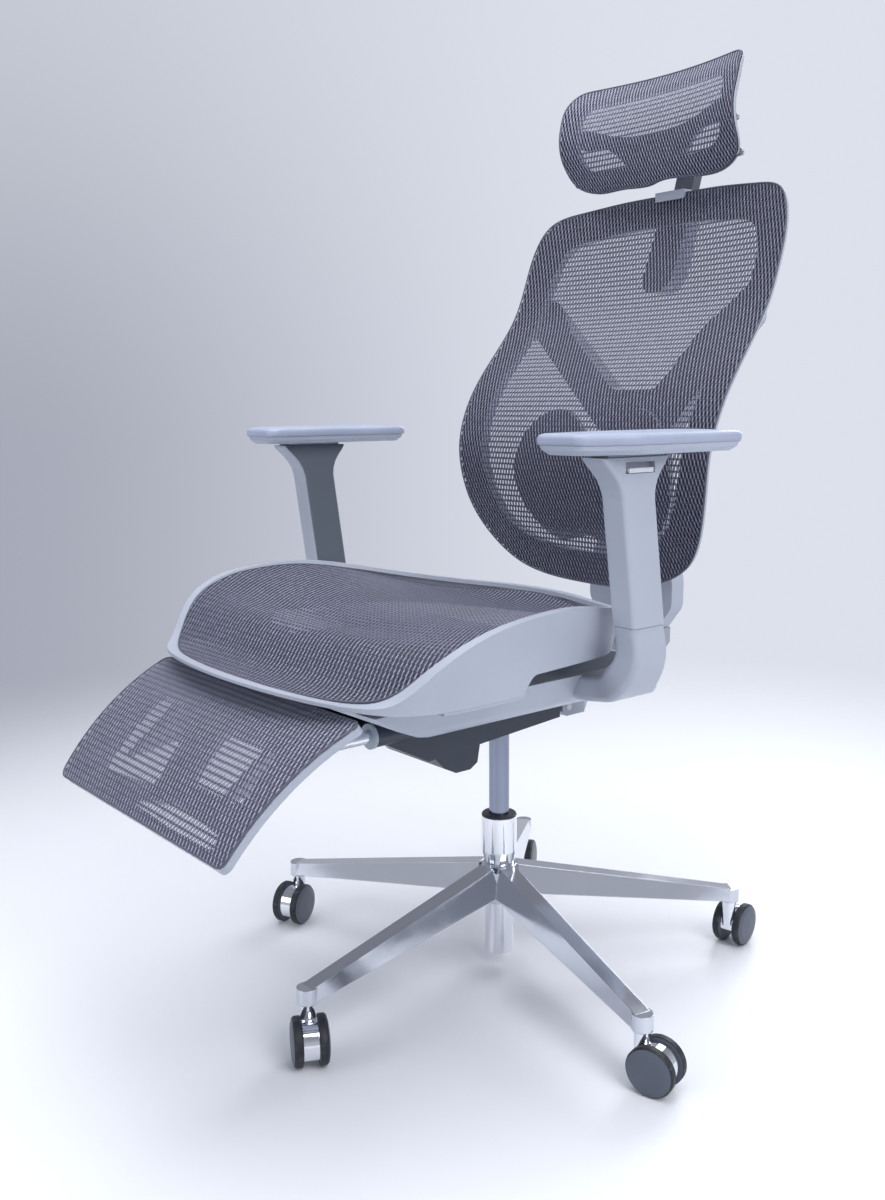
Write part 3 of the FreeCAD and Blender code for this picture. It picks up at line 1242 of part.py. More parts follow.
for side in (-1, 1):
    foot_frame = foot_frame.fuse(foot_rib(side))
shaped("footrest_frame", foot_frame.removeSplitter()).Placement = FOOT_PLACE
shaped("footrest_mesh", foot_slab(0, NET).common(foot_outer)).Placement = FOOT_PLACE

# Footrest rods welded to the cross shaft that the panel turns on

shaft_reach = X_AXIS * (RIB_INNER + RIB_WIDTH + 2)
slide = rod(SHAFT, FOOT_PIVOT - shaft_reach, FOOT_PIVOT + shaft_reach)
for side in (-1, 1):
    start = FOOT_PIVOT + X_AXIS * (side * SLEEVE_X)
    slide = slide.fuse(rod(mm("slide_rod_radius"), start, V(start.x, -mm("sleeve_end") - 30, start.z)))
shaped("footrest_rods", slide.removeSplitter())

# Levers on the sitter's right: a shaft out of the housing with a flat paddle


def lever(label, y, z):
    body = new_body(label)
    shaft = disc(body, f"{label}_shaft", "YZ_Plane", "4", (y, z), "-(sizes.housing_width / 2 + sizes.lever_reach - 20)")
    pad(body, f"{label}_shaft_pad", shaft, "sizes.lever_reach - 20 - sizes.seat_gap")
    paddle = outline(body, f"{label}_paddle", "XY_Plane", [
        ("-(sizes.housing_width / 2 + sizes.lever_reach)", f"{y} - 34"),
        ("-(sizes.housing_width / 2 + sizes.lever_reach - 26)", f"{y} - 30"),
        ("-(sizes.housing_width / 2 + sizes.lever_reach - 34)", f"{y} + 6"),
        ("-(sizes.housing_width / 2 + sizes.lever_reach)", f"{y} + 6"),
    ], lift=f"{z} - 4")
    pad(body, f"{label}_paddle_pad", paddle, "7")
    return body


lever("height_lever", "-60", "sizes.recline_pivot_z")
lever("tilt_lever", "-150", "sizes.recline_pivot_z")

# Check, then write one file for each piece

doc.recompute()
for item in doc.Objects:
    if "Invalid" in item.State or "Error" in item.State:
        raise RuntimeError(f"{item.Label} did not build: {item.State}")
for item in NODES:
    shape = item.Shape
    if shape.isNull() or not shape.isValid() or not shape.Solids:
        raise RuntimeError(f"{item.Label} has no valid solid")
for item in NODES:
    item.Shape.exportStep(f"parts/{item.Label}.step")
print(len(NODES), "pieces written")
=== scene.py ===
import math

import bmesh
import bpy
from mathutils import Matrix, Vector
from mathutils.bvhtree import BVHTree


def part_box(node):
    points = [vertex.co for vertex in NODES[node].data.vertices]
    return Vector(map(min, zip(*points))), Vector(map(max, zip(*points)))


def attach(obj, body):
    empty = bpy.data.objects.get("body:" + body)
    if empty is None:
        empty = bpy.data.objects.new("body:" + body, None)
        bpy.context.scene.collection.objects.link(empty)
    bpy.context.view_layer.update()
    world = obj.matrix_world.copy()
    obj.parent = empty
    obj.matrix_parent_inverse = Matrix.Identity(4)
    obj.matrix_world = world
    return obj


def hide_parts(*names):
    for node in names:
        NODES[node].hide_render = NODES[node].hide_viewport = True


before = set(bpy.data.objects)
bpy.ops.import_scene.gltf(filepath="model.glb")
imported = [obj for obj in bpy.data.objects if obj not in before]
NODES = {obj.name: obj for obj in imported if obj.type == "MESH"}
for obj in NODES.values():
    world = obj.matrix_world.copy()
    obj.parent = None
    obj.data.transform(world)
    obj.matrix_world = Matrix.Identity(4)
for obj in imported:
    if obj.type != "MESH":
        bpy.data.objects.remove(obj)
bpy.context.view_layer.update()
SCENE = bpy.context.scene

UP = Vector((0, 0, 1))
FORWARD = Vector((0, -1, 0))
LENGTHWISE = Vector((0, 1, 0))


# Small helpers for shader nodes: every helper returns the socket that it makes


class Shader:
    """A material with one surface shader, and short calls that add nodes to it."""

    def __init__(self, name):
        self.material = bpy.data.materials.new(name)
        self.material.use_nodes = True
        self.tree = self.material.node_tree
        self.tree.nodes.clear()
        self.surface = self.node("ShaderNodeBsdfPrincipled")
        output = self.node("ShaderNodeOutputMaterial")
        self.tree.links.new(self.surface.outputs[0], output.inputs["Surface"])

    def node(self, kind, **settings):
        made = self.tree.nodes.new(kind)
        for key, value in settings.items():
            setattr(made, key, value)
        return made

    def feed(self, socket, value):
        if isinstance(value, bpy.types.NodeSocket):
            self.tree.links.new(value, socket)
        else:
            socket.default_value = value

    def set(self, **inputs):
        for name, value in inputs.items():
            self.feed(self.surface.inputs[name.replace("_", " ")], value)

    def math(self, operation, *values, clamp=False):
        made = self.node("ShaderNodeMath", operation=operation, use_clamp=clamp)
        for socket, value in zip(made.inputs, values):
            self.feed(socket, value)
        return made.outputs[0]

    def smooth(self, value, start, end):
        """0 before start, 1 after end; start may be the larger."""
        made = self.node("ShaderNodeMapRange", interpolation_type="SMOOTHSTEP")
        low, high = min(start, end), max(start, end)
        self.feed(made.inputs["Value"], value)
        made.inputs["From Min"].default_value = low
        made.inputs["From Max"].default_value = high
        made.inputs["To Min"].default_value = 0.0 if start < end else 1.0
        made.inputs["To Max"].default_value = 1.0 if start < end else 0.0
        return made.outputs[0]

    def mix(self, share, first, second):
        made = self.node("ShaderNodeMix", data_type="RGBA")
        self.feed(made.inputs[0], share)
        self.feed(made.inputs[6], first if isinstance(first, bpy.types.NodeSocket) else (*first, 1))
        self.feed(made.inputs[7], second if isinstance(second, bpy.types.NodeSocket) else (*second, 1))
        return made.outputs[2]

    def place(self):
        return self.node("ShaderNodeTexCoord").outputs["Object"]

    def facing(self, direction):
        """How far the surface at rest faces a fixed direction of the chair."""
        made = self.node("ShaderNodeVectorMath", operation="DOT_PRODUCT")
        self.feed(made.inputs[0], self.node("ShaderNodeTexCoord").outputs["Normal"])
        made.inputs[1].default_value = direction
        return made.outputs["Value"]

    def noise(self, scale, detail=2.0, stretch=(1, 1, 1)):
        mapping = self.node("ShaderNodeMapping")
        self.feed(mapping.inputs["Vector"], self.place())
        mapping.inputs["Scale"].default_value = stretch
        made = self.node("ShaderNodeTexNoise")
        self.feed(made.inputs["Vector"], mapping.outputs[0])
        made.inputs["Scale"].default_value = scale
        made.inputs["Detail"].default_value = detail
        return made.outputs[0]

    def bump(self, height, distance, strength=1.0, normal=None):
        made = self.node("ShaderNodeBump")
        self.feed(made.inputs["Height"], height)
        made.inputs["Distance"].default_value = distance
        made.inputs["Strength"].default_value = strength
        if normal is not None:
            self.feed(made.inputs["Normal"], normal)
        return made.outputs[0]

    def rounded(self, radius):
        """A normal that rounds sharp edges by a radius."""
        made = self.node("ShaderNodeBevel", samples=4)
        made.inputs["Radius"].default_value = radius
        return made.outputs[0]

    def edges(self, rounded_normal):
        """1 where the rounded normal leaves the flat one, which is along edges."""
        dot = self.node("ShaderNodeVectorMath", operation="DOT_PRODUCT")
        self.feed(dot.inputs[0], rounded_normal)
        self.feed(dot.inputs[1], self.node("ShaderNodeNewGeometry").outputs["Normal"])
        return self.smooth(dot.outputs["Value"], 0.995, 0.9)


# Materials


def moulded_plastic(name, colour, roughness, edge=0.0009, grain=0.00003, two_tone_and_painted_shade=None, lowest=-1.0):
    """Fine-grained moulding with slight colour drift and paler worn edges; faces looking one way can take
    a second colour, which on the back's parts behind the mesh is painted shade.
    """
    look = Shader(name)
    drift = look.smooth(look.noise(7.0, 3.0), 0.3, 0.7)
    body = look.mix(drift, [c * 0.95 for c in colour], [min(c * 1.04, 1) for c in colour])
    # A second colour on faces looking one way: on the arm posts it is their real darker inner side, on the
    # back frame and supports it is painted shade on the forward faces behind the mesh
    if two_tone_and_painted_shade is not None:
        direction, other = two_tone_and_painted_shade
        share = look.smooth(look.facing(direction), 0.55, 0.8)
        split = look.node("ShaderNodeSeparateXYZ")
        look.feed(split.inputs[0], look.place())
        share = look.math("MULTIPLY", share, look.smooth(split.outputs[2], lowest - 0.01, lowest + 0.01))
        body = look.mix(share, body, other)
    normal = look.rounded(edge)
    worn = look.math("MULTIPLY", look.edges(normal), look.smooth(look.noise(60.0, 4.0), 0.42, 0.7))
    body = look.mix(look.math("MULTIPLY", worn, 0.35), body, [min(c * 1.35 + 0.03, 1) for c in colour])
    speckle = look.noise(1500.0, 1.0)
    rough = look.math("MULTIPLY_ADD", look.noise(25.0, 4.0), 0.12, roughness - 0.06)
    look.set(Base_Color=body, Roughness=rough, Normal=look.bump(speckle, grain, 0.7, normal))
    look.set(IOR=1.48)
    return look.material


def painted_metal(name, colour, roughness):
    """Satin powder coat: an orange-peel surface with a thin clear coat."""
    look = Shader(name)
    drift = look.noise(9.0, 3.0)
    body = look.mix(drift, [c * 0.85 for c in colour], [c * 1.2 for c in colour])
    normal = look.rounded(0.0015)
    worn = look.math("MULTIPLY", look.edges(normal), look.smooth(look.noise(80.0, 5.0), 0.5, 0.75))
    body = look.mix(look.math("MULTIPLY", worn, 0.3), body, [c * 2.2 + 0.03 for c in colour])
    peel = look.noise(700.0, 2.0)
    look.set(Base_Color=body, Roughness=roughness, Normal=look.bump(peel, 0.00006, 0.8, normal))
    look.set(Coat_Weight=0.25, Coat_Roughness=0.3)
    return look.material


def bright_metal(name, colour, roughness, edge, brushing=(1, 1, 1), wave=0.0):
    """Polished or plated metal with faint handling marks and soft waviness."""
    look = Shader(name)
    smear = look.smooth(look.noise(14.0, 5.0), 0.45, 0.75)
    fine = look.noise(420.0, 3.0, brushing)
    rough = look.math("MULTIPLY_ADD", smear, 0.07, roughness)
    rough = look.math("MULTIPLY_ADD", fine, 0.04, rough)
    body = look.mix(look.noise(5.0, 2.0), [c * 0.94 for c in colour], colour)
    normal = look.bump(look.noise(11.0, 2.0), wave, 1.0, look.rounded(edge))
    look.set(Base_Color=body, Metallic=1.0, Roughness=rough)
    look.set(Normal=look.bump(fine, 0.00001, 0.4, normal))
    return look.material


def wheel_material(name, axle):
    """Dark tread with a greyer crowned disc on the faces that look along the axle."""
    look = Shader(name)
    side = look.math("ABSOLUTE", look.facing(axle))
    disc = look.smooth(side, 0.72, 0.86)
    dust = look.smooth(look.noise(120.0, 5.0), 0.5, 0.72)
    tread = look.mix(look.math("MULTIPLY", dust, 0.5), (0.012, 0.014, 0.02), (0.09, 0.095, 0.11))
    face = look.mix(look.noise(30.0, 3.0), (0.075, 0.09, 0.12), (0.1, 0.115, 0.15))
    normal = look.rounded(0.001)
    grain = look.bump(look.noise(900.0), 0.00004, 0.6, normal)
    look.set(Base_Color=look.mix(disc, tread, face), Normal=grain)
    look.set(Roughness=look.math("MULTIPLY_ADD", disc, -0.15, 0.55))
    return look.material


# Weave sizes: a cell in metres, and half the slot's width and height as shares of the cell
WEAVE_CELL = (0.0060, 0.0080)
WEAVE_HOLE = (0.15, 0.36)
WEAVE_SLANT = 0.3
SLOT_ROUNDNESS = 2.4
YARN_RELIEF = 0.0006


def woven_mesh(name, dark, light, hole=WEAVE_HOLE, cell=WEAVE_CELL):
    """Elastic mesh: staggered upright slots in dark yarn, with slanting paler stitches between them."""
    look = Shader(name)
    uv = look.node("ShaderNodeUVMap", uv_map="weave").outputs[0]
    split = look.node("ShaderNodeSeparateXYZ")
    look.feed(split.inputs[0], uv)
    down = look.math("DIVIDE", split.outputs[1], cell[1])
    row = look.math("FLOOR", down)
    stagger = look.math("MULTIPLY", look.math("PINGPONG", row, 1.0), 0.5)
    along = look.math("ADD", look.math("DIVIDE", split.outputs[0], cell[0]), stagger)
    across = look.math("SUBTRACT", look.math("FRACT", along), 0.5)
    upright = look.math("SUBTRACT", look.math("FRACT", down), 0.5)

    def share_of_slot(offset, half_size):
        share = look.math("DIVIDE", look.math("ABSOLUTE", offset), half_size)
        return look.math("POWER", share, SLOT_ROUNDNESS)

    radius = look.math(
        "SQRT",
        look.math(
            "ADD",
            share_of_slot(across, hole[0]),
            share_of_slot(upright, hole[1]),
        ),
    )
    open_share = look.smooth(radius, 1.18, 0.82)
    leaning = look.math("MULTIPLY_ADD", upright, WEAVE_SLANT, look.math("ADD", along, 0.5))
    beside = look.math("ABSOLUTE", look.math("SUBTRACT", look.math("FRACT", leaning), 0.5))
    stitch = look.smooth(beside, 0.2, 0.1)
    stitch = look.math("MULTIPLY", stitch, look.smooth(look.math("ABSOLUTE", upright), 0.5, 0.4))
    lively = look.math("MULTIPLY_ADD", look.smooth(look.noise(330.0, 1.0), 0.35, 0.65), 0.5, 0.5)
    fleck = look.math("MULTIPLY", stitch, lively)
    drift = look.smooth(look.noise(16.0, 3.0), 0.35, 0.65)
    yarn = look.mix(drift, [c * 0.88 for c in dark], [c * 1.1 for c in dark])
    look.set(Base_Color=look.mix(fleck, yarn, light))
    look.set(Alpha=look.math("SUBTRACT", 1.0, open_share))
    relief = look.math("ADD", look.smooth(radius, 0.9, 2.0), look.math("MULTIPLY", fleck, 0.5))
    look.set(Normal=look.bump(relief, YARN_RELIEF, 0.6), Roughness=0.62)
    look.set(Sheen_Weight=0.12, Sheen_Roughness=0.4, Sheen_Tint=(0.75, 0.78, 1.0, 1.0))
    return look.material


def soft_touch(name, colour):
    """Moulded foam skin of the arm pads: a very fine leather grain, with the top painted paler as painted
    light.
    """
    look = Shader(name)
    pores = look.node("ShaderNodeTexVoronoi", feature="DISTANCE_TO_EDGE")
    look.feed(pores.inputs["Vector"], look.place())
    pores.inputs["Scale"].default_value = 900.0
    pits = look.smooth(pores.outputs["Distance"], 0.0, 0.25)
    drift = look.smooth(look.noise(10.0, 4.0), 0.3, 0.7)
    # Upward faces are painted paler: painted light falling on the top of the pad
    painted_top_light = look.math("MULTIPLY", look.smooth(look.facing((0, 0, 1)), 0.7, 0.95), 0.25)
    body = look.mix(drift, [c * 0.93 for c in colour], [c * 1.05 for c in colour])
    body = look.mix(painted_top_light, body, [min(c * 1.25, 1) for c in colour])
    look.set(Base_Color=body, Normal=look.bump(pits, 0.00005, 0.5))
    look.set(Roughness=look.math("MULTIPLY_ADD", look.noise(40.0, 4.0), 0.15, 0.34))
    return look.material


# Colours, and the height above which the back's parts are seen through the mesh; SHADED_GREY is painted
# shade on the forward faces of those parts
LIGHT_GREY = (0.42, 0.452, 0.53)
INNER_GREY = (0.12, 0.14, 0.17)
SHADED_GREY = (0.065, 0.068, 0.092)
BACK_MESH_FOOT = 0.6
DARK_YARN = (0.026, 0.027, 0.046)
DARK_STITCH = (0.26, 0.265, 0.38)
SEAT_YARN = (0.022, 0.023, 0.041)
SEAT_STITCH = (0.3, 0.305, 0.43)
PALE_YARN = (0.05, 0.052, 0.083)
PALE_STITCH = (0.4, 0.41, 0.54)

grey_plastic = moulded_plastic("light_grey_plastic", LIGHT_GREY, 0.42)
# The back frame, headrest frame and back supports are painted darker on faces looking forward: painted
# shade where they sit behind the mesh
frame_plastic_painted_shade = moulded_plastic(
    "back_frame_plastic", LIGHT_GREY, 0.45, two_tone_and_painted_shade=((0, -1, 0), SHADED_GREY)
)
support_plastic_painted_shade = moulded_plastic(
    "support_plastic_painted_shade", LIGHT_GREY, 0.5, two_tone_and_painted_shade=((0, -1, 0), SHADED_GREY), lowest=BACK_MESH_FOOT
)
post_left = moulded_plastic(
    "arm_post_left_plastic", LIGHT_GREY, 0.4, two_tone_and_painted_shade=((-1, 0, 0), INNER_GREY)
)
post_right = moulded_plastic(
    "arm_post_right_plastic", LIGHT_GREY, 0.4, two_tone_and_painted_shade=((1, 0, 0), INNER_GREY)
)
shell_plastic = moulded_plastic("pad_shell_plastic", (0.42, 0.46, 0.55), 0.4)
black_plastic = moulded_plastic("black_plastic", (0.035, 0.04, 0.052), 0.45)
button_plastic = moulded_plastic("button_plastic", (0.7, 0.72, 0.76), 0.35)
housing_paint = painted_metal("housing_paint", (0.02, 0.031, 0.052), 0.42)
bracket_paint = painted_metal("bracket_paint", (0.32, 0.35, 0.4), 0.4)
stem_paint = painted_metal("stem_paint", (0.075, 0.085, 0.11), 0.35)
aluminium = bright_metal("polished_aluminium", (0.66, 0.685, 0.74), 0.09, 0.0012, wave=0.0006)
cylinder_chrome = bright_metal("cylinder_chrome", (0.27, 0.3, 0.38), 0.16, 0.0008, wave=0.0002)
chrome = bright_metal("chrome", (0.84, 0.86, 0.9), 0.03, 0.0008, wave=0.0002)
steel = bright_metal("ground_steel", (0.55, 0.56, 0.58), 0.22, 0.0004, brushing=(1, 8, 1))
ring_plastic = moulded_plastic("sleeve_ring_plastic", (0.4, 0.46, 0.52), 0.3)
back_weave = woven_mesh("back_weave", DARK_YARN, DARK_STITCH)
seat_weave = woven_mesh("seat_weave", SEAT_YARN, SEAT_STITCH, hole=(0.09, 0.2), cell=(0.0070, 0.0080))
foot_weave = woven_mesh(
    "foot_weave", PALE_YARN, PALE_STITCH, hole=(0.14, 0.34), cell=(0.0064, 0.0080)
)
head_weave = woven_mesh("head_weave", PALE_YARN, PALE_STITCH, cell=(0.0052, 0.0070))
pad_skin = soft_touch("arm_pad_skin", (0.36, 0.4, 0.52))
yarn_edge = moulded_plastic("mesh_edge_cord", (0.1, 0.103, 0.14), 0.6, grain=0.0002)

LOOKS = {
    "star_base": aluminium,
    "column_tube": chrome,
    "column_bushing": black_plastic,
    "gas_cylinder": cylinder_chrome,
    "piston_rod": steel,
    "thrust_bearing": steel,
    "mechanism_housing": housing_paint,
    "mechanism_cover": housing_paint,
    "sleeve_rings": ring_plastic,
    "recline_pin": steel,
    "headrest_pin": steel,
    "back_link": bracket_paint,
    "back_frame": frame_plastic_painted_shade,
    "headrest_frame": frame_plastic_painted_shade,
    "back_support": support_plastic_painted_shade,
    "lumbar_pad": support_plastic_painted_shade,
    "lumbar_carriage": support_plastic_painted_shade,
    "headrest_guide": support_plastic_painted_shade,
    "headrest_bracket": support_plastic_painted_shade,
    "headrest_stem": stem_paint,
    "footrest_rods": chrome,
    "height_lever": black_plastic,
    "tilt_lever": black_plastic,
    "arm_post_left": post_left,
    "arm_post_right": post_right,
    "arm_button_left": button_plastic,
    "arm_button_right": button_plastic,
    "arm_pad_shell_left": shell_plastic,
    "arm_pad_shell_right": shell_plastic,
}


def wear(piece, material):
    piece.data.materials.clear()
    piece.data.materials.append(material)


def middle(node):
    low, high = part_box(node)
    return (Vector(low) + Vector(high)) / 2


for name, node in NODES.items():
    if name.startswith("caster_wheel"):
        continue
    if name.startswith("caster_body"):
        wear(node, chrome)
    else:
        wear(node, LOOKS.get(name, grey_plastic))
for number in range(1, 6):
    pair = [f"caster_wheel_{number}a", f"caster_wheel_{number}b"]
    axle = (middle(pair[0]) - middle(pair[1])).normalized()
    tyre = wheel_material(f"caster_wheel_{number}", axle)
    for name in pair:
        wear(NODES[name], tyre)


# Stretched mesh: the front skin of each CAD plate, its weave laid out by real length, and an edge cord

WELD = 0.00002
LEAST_FACING = 0.08
LENGTH_STEPS = 80
RAY_START = 0.5
CORD_RADIUS = 0.0011


def new_piece(name, mesh, body, material, replaced=None):
    piece = bpy.data.objects.new(name, mesh)
    SCENE.collection.objects.link(piece)
    wear(piece, material)
    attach(piece, body)
    if replaced:
        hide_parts(replaced)
    return piece


def front_skin(node, toward):
    """The faces of a CAD plate that look towards its open side."""
    skin = bmesh.new()
    skin.from_mesh(NODES[node].data)
    bmesh.ops.remove_doubles(skin, verts=skin.verts, dist=WELD)
    skin.normal_update()
    hidden = [f for f in skin.faces if f.normal.dot(toward) < LEAST_FACING]
    bmesh.ops.delete(skin, geom=hidden, context="FACES")
    loose = [v for v in skin.verts if not v.link_faces]
    bmesh.ops.delete(skin, geom=loose, context="VERTS")
    for face in skin.faces:
        face.smooth = True
    return skin


def length_table(skin, along, toward):
    """Places along the plate's middle line against the cloth's length up to there."""
    tree = BVHTree.FromBMesh(skin)
    reach = [v.co.dot(along) for v in skin.verts]
    low, high = min(reach), max(reach)
    start = sum((v.co for v in skin.verts), Vector()) / len(skin.verts)
    start.x = 0
    table = []
    total = 0.0
    last = None
    for i in range(LENGTH_STEPS + 1):
        place = low + (high - low) * i / LENGTH_STEPS
        origin = start + along * (place - start.dot(along)) + toward * RAY_START
        hit = tree.ray_cast(origin, -toward)[0]
        if hit is None:
            continue
        if last is not None:
            total += (hit - last).length
        last = hit
        table.append((place, total))
    return table


def cloth_length(table, place):
    if place <= table[0][0]:
        return place - table[0][0]
    for (a, la), (b, lb) in zip(table, table[1:]):
        if place <= b:
            return la + (lb - la) * (place - a) / (b - a)
    return table[-1][1] + place - table[-1][0]


def edge_cord(name, skin, radius, body, material):
    """A round cord along the rim of the cloth, so that its cut edge is bound."""
    rim = {}
    for edge in skin.edges:
        if edge.is_boundary:
            for vert in edge.verts:
                rim.setdefault(vert, []).append(edge.other_vert(vert))
    first = next(iter(rim))
    loop, last, here = [first], None, first
    while True:
        onward = [v for v in rim[here] if v is not last]
        if not onward or onward[0] is first:
            break
        last, here = here, onward[0]
        loop.append(here)
        if len(loop) > len(rim):
            break
    curve = bpy.data.curves.new(name, "CURVE")
    curve.dimensions = "3D"
    curve.bevel_depth = radius
    curve.bevel_resolution = 2
    spline = curve.splines.new("POLY")
    spline.points.add(len(loop) - 1)
    for point, vert in zip(spline.points, loop):
        point.co = (*vert.co, 1)
    spline.use_cyclic_u = True
    shape = bpy.data.objects.new(name, curve)
    mesh = bpy.data.meshes.new_from_object(shape)
    bpy.data.objects.remove(shape)
    for polygon in mesh.polygons:
        polygon.use_smooth = True
    return new_piece(name, mesh, body, material)


def stretched_mesh(node, body, toward, along, material):
    skin = front_skin(node, toward)
    table = length_table(skin, along, toward)
    layer = skin.loops.layers.uv.new("weave")
    for face in skin.faces:
        for loop in face.loops:
            place = loop.vert.co
            loop[layer].uv = (place.x, cloth_length(table, place.dot(along)))
    cord = edge_cord(f"{node}_edge", skin, CORD_RADIUS, body, yarn_edge)
    area = sum(f.calc_area() for f in skin.faces)
    mesh = bpy.data.meshes.new(f"{node}_cloth")
    skin.to_mesh(mesh)
    skin.free()
    cloth = new_piece(f"{node}_cloth", mesh, body, material, node)
    return cloth


FOOT_SLOPE = math.radians(37.8)
foot_along = Vector((0, math.cos(FOOT_SLOPE), math.sin(FOOT_SLOPE)))
foot_up = Vector((0, -math.sin(FOOT_SLOPE), math.cos(FOOT_SLOPE)))
stretched_mesh("seat_mesh", "chassis", UP, LENGTHWISE, seat_weave)
stretched_mesh("back_mesh", "backrest", FORWARD, UP, back_weave)
stretched_mesh("headrest_mesh", "headrest", FORWARD, UP, head_weave)
stretched_mesh("footrest_mesh", "footrest", foot_up, foot_along, foot_weave)


# Arm pads: the CAD pad remeshed, softened and crowned on top

PAD_VOXEL = 0.0016
PAD_SMOOTHING = 5
PAD_FACES_KEPT = 0.35
PAD_CROWN = 0.0022


def crowned(mesh, crown):
    """Lifts the top of a pad towards its middle."""
    xs = [v.co.x for v in mesh.vertices]
    ys = [v.co.y for v in mesh.vertices]
    zs = [v.co.z for v in mesh.vertices]
    cx, cy = (min(xs) + max(xs)) / 2, (min(ys) + max(ys)) / 2
    hx, hy = (max(xs) - min(xs)) / 2, (max(ys) - min(ys)) / 2
    low, high = min(zs), max(zs)
    for vert in mesh.vertices:
        share = (vert.co.z - low) / (high - low)
        bow = (1 - ((vert.co.x - cx) / hx) ** 2) * (1 - ((vert.co.y - cy) / hy) ** 4)
        vert.co.z += crown * max(bow, 0) * max(share - 0.5, 0) * 2


def arm_pad(side):
    node = f"arm_pad_{side}"
    work = bpy.data.objects.new(f"{node}_work", NODES[node].data.copy())
    SCENE.collection.objects.link(work)
    remesh = work.modifiers.new("even", "REMESH")
    remesh.mode = "VOXEL"
    remesh.voxel_size = PAD_VOXEL
    soften = work.modifiers.new("soft", "SMOOTH")
    soften.factor = 0.5
    soften.iterations = PAD_SMOOTHING
    thin = work.modifiers.new("thin", "DECIMATE")
    thin.ratio = PAD_FACES_KEPT
    bpy.context.view_layer.update()
    graph = bpy.context.evaluated_depsgraph_get()
    mesh = bpy.data.meshes.new_from_object(work.evaluated_get(graph))
    bpy.data.objects.remove(work)
    crowned(mesh, PAD_CROWN)
    for polygon in mesh.polygons:
        polygon.use_smooth = True
    piece = new_piece(f"{node}_cushion", mesh, node, pad_skin, node)


for side in ("left", "right"):
    arm_pad(side)


# Pegs on the back of the headrest frame, near its ends

PEG_INSET = 0.014
PEG_LENGTH = 0.017
PEG_RADIUS = 0.0075
PEG_TIP_SHARE = 0.35
PEG_EDGE_SHARE = 0.25
PEG_STANDOFF = Vector((0, 0.006, 0))
PEG_HEIGHTS = {1: 0.14, 2: 0.42}


def peg(name, place, length, radius):
    mesh = bpy.data.meshes.new(name)
    shape = bmesh.new()
    bmesh.ops.create_cone(
        shape, cap_ends=True, segments=20, radius1=radius, radius2=radius * PEG_TIP_SHARE, depth=length,
        matrix=Matrix.Translation(place) @ Matrix.Rotation(math.radians(-90), 4, "X"),
    )
    bmesh.ops.bevel(shape, geom=shape.edges[:], offset=radius * PEG_EDGE_SHARE, segments=3, affect="EDGES")
    for face in shape.faces:
        face.smooth = True
    shape.to_mesh(mesh)
    shape.free()
    new_piece(name, mesh, "headrest", support_plastic_painted_shade)


head_low, head_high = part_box("headrest_frame")
head_tree = BVHTree.FromPolygons(
    [v.co.copy() for v in NODES["headrest_frame"].data.vertices],
    [list(p.vertices) for p in NODES["headrest_frame"].data.polygons],
)
for side, reach in (("left", head_high[0] - PEG_INSET), ("right", head_low[0] + PEG_INSET)):
    for number, share in PEG_HEIGHTS.items():
        height = head_low[2] + share * (head_high[2] - head_low[2])
        hit = head_tree.ray_cast(Vector((reach, 1, height)), Vector((0, -1, 0)))[0]
        if hit is not None:
            peg(f"headrest_peg_{side}_{number}", hit + PEG_STANDOFF, PEG_LENGTH, PEG_RADIUS)


# Floor, world, lights and camera: the floor fades out between two distances from the chair

FLOOR_BRIGHT = 0.7
FLOOR_END = 2.3


def floor_material():
    look = Shader("studio_floor")
    distance = look.node("ShaderNodeVectorMath", operation="LENGTH")
    look.feed(distance.inputs[0], look.place())
    fade = look.smooth(distance.outputs["Value"], FLOOR_BRIGHT, FLOOR_END)
    look.set(Base_Color=look.mix(look.noise(3.0, 4.0), (0.84, 0.855, 0.9), (0.87, 0.885, 0.925)))
    look.set(Roughness=0.38, Alpha=look.math("SUBTRACT", 1.0, fade), IOR=1.35)
    look.set(Normal=look.bump(look.noise(6.0, 3.0), 0.0015, 0.3))
    return look.material


floor_mesh = bpy.data.meshes.new("studio_floor")
disc = bmesh.new()
bmesh.ops.create_circle(disc, cap_ends=True, segments=96, radius=FLOOR_END + 0.1)
disc.to_mesh(floor_mesh)
disc.free()
floor = bpy.data.objects.new("studio_floor", floor_mesh)
SCENE.collection.objects.link(floor)
wear(floor, floor_material())

WALL_LEFT_LOW = (0.385, 0.4, 0.475)
WALL_LEFT_HIGH = (0.56, 0.59, 0.66)
WALL_RIGHT = (0.72, 0.75, 0.84)
AMBIENT_LOW = (0.5, 0.52, 0.58)
AMBIENT_HIGH = (0.25, 0.26, 0.3)
ROOM_RIGHT = (0.636, 0.772, 0.0)
ROOM_AHEAD = (-0.772, 0.636, 0.0)


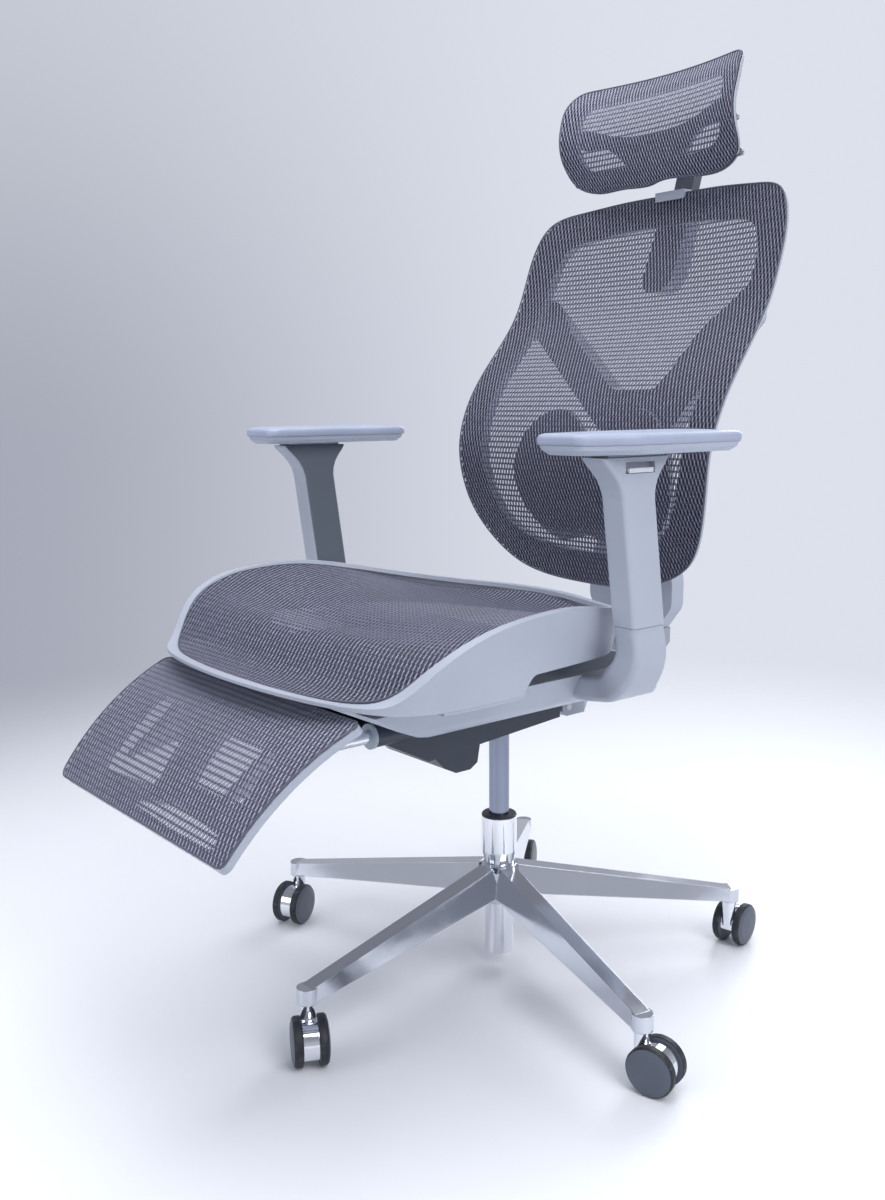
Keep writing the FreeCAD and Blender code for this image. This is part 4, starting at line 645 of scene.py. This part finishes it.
def studio_world():
    world = bpy.data.worlds.new("studio")
    world.use_nodes = True
    tree = world.node_tree
    tree.nodes.clear()

    def node(kind, **settings):
        made = tree.nodes.new(kind)
        for key, value in settings.items():
            setattr(made, key, value)
        return made

    def ramp(value, start, end):
        made = node("ShaderNodeMapRange", interpolation_type="SMOOTHSTEP")
        tree.links.new(value, made.inputs["Value"])
        made.inputs["From Min"].default_value = start
        made.inputs["From Max"].default_value = end
        return made.outputs[0]

    def mix(share, first, second):
        made = node("ShaderNodeMix", data_type="RGBA")
        tree.links.new(share, made.inputs[0])
        for socket, colour in ((made.inputs[6], first), (made.inputs[7], second)):
            if isinstance(colour, bpy.types.NodeSocket):
                tree.links.new(colour, socket)
            else:
                socket.default_value = (*colour, 1)
        return made.outputs[2]

    direction = node("ShaderNodeTexCoord").outputs["Generated"]
    split = node("ShaderNodeSeparateXYZ")
    tree.links.new(direction, split.inputs[0])
    height = split.outputs[2]
    sideways = node("ShaderNodeVectorMath", operation="DOT_PRODUCT")
    tree.links.new(direction, sideways.inputs[0])
    sideways.inputs[1].default_value = ROOM_RIGHT
    left = mix(ramp(height, -0.05, 0.35), WALL_LEFT_LOW, WALL_LEFT_HIGH)
    wall = mix(ramp(sideways.outputs["Value"], -0.38, 0.2), left, WALL_RIGHT)
    ahead = node("ShaderNodeVectorMath", operation="DOT_PRODUCT")
    tree.links.new(direction, ahead.inputs[0])
    ahead.inputs[1].default_value = ROOM_AHEAD
    wall = mix(ramp(ahead.outputs["Value"], 0.45, 0.8), WALL_RIGHT, wall)
    room = mix(ramp(height, 0.05, 0.7), AMBIENT_LOW, AMBIENT_HIGH)
    seen = node("ShaderNodeLightPath").outputs["Is Camera Ray"]
    background = node("ShaderNodeBackground")
    tree.links.new(mix(seen, room, wall), background.inputs["Color"])
    tree.links.new(background.outputs[0], node("ShaderNodeOutputWorld").inputs["Surface"])
    return world


SCENE.world = studio_world()


def softbox(name, place, aim, size, watts, colour=(1, 1, 1)):
    light = bpy.data.lights.new(name, "AREA")
    light.shape = "RECTANGLE"
    light.size, light.size_y = size
    light.energy = watts
    light.color = colour
    item = bpy.data.objects.new(name, light)
    item.location = place
    item.rotation_euler = (Vector(aim) - Vector(place)).to_track_quat("-Z", "Y").to_euler()
    SCENE.collection.objects.link(item)


softbox("key_right", (2.3, -0.3, 2.3), (0, 0, 0.5), (1.6, 1.8), 50, (0.97, 0.98, 1.0))
softbox("top", (-0.2, -0.2, 3.0), (0, 0, 0.4), (2.4, 2.4), 62, (0.96, 0.98, 1.0))
softbox("front_fill", (-0.6, -2.8, 1.5), (0, 0, 0.6), (1.6, 1.4), 17, (0.92, 0.95, 1.0))
softbox("back_fill", (-0.9, 2.9, 1.9), (0, 0.2, 0.7), (1.5, 1.5), 42, (0.95, 0.97, 1.0))

CAMERA_PLACE = Vector((1.15176, -1.04571, 0.78139))
CAMERA_RIGHT = Vector((0.6361341, 0.77153621, -0.00808043))
CAMERA_UP = Vector((-0.12180101, 0.1107556, 0.98635577))
CAMERA_BACK = Vector((0.76190414, -0.62647033, 0.1644293))
FOCAL_PIXELS = 1169.45
PICTURE_HEIGHT = 1200

camera_data = bpy.data.cameras.new("photo_camera")
camera_data.sensor_width = 36.0
camera_data.lens = FOCAL_PIXELS * camera_data.sensor_width / PICTURE_HEIGHT
camera_data.clip_start = 0.01
camera = bpy.data.objects.new("photo_camera", camera_data)
camera.matrix_world = Matrix((
    (CAMERA_RIGHT.x, CAMERA_UP.x, CAMERA_BACK.x, CAMERA_PLACE.x),
    (CAMERA_RIGHT.y, CAMERA_UP.y, CAMERA_BACK.y, CAMERA_PLACE.y),
    (CAMERA_RIGHT.z, CAMERA_UP.z, CAMERA_BACK.z, CAMERA_PLACE.z),
    (0, 0, 0, 1),
))
SCENE.collection.objects.link(camera)
SCENE.camera = camera
SCENE.view_settings.view_transform = "Standard"
SCENE.view_settings.look = "None"
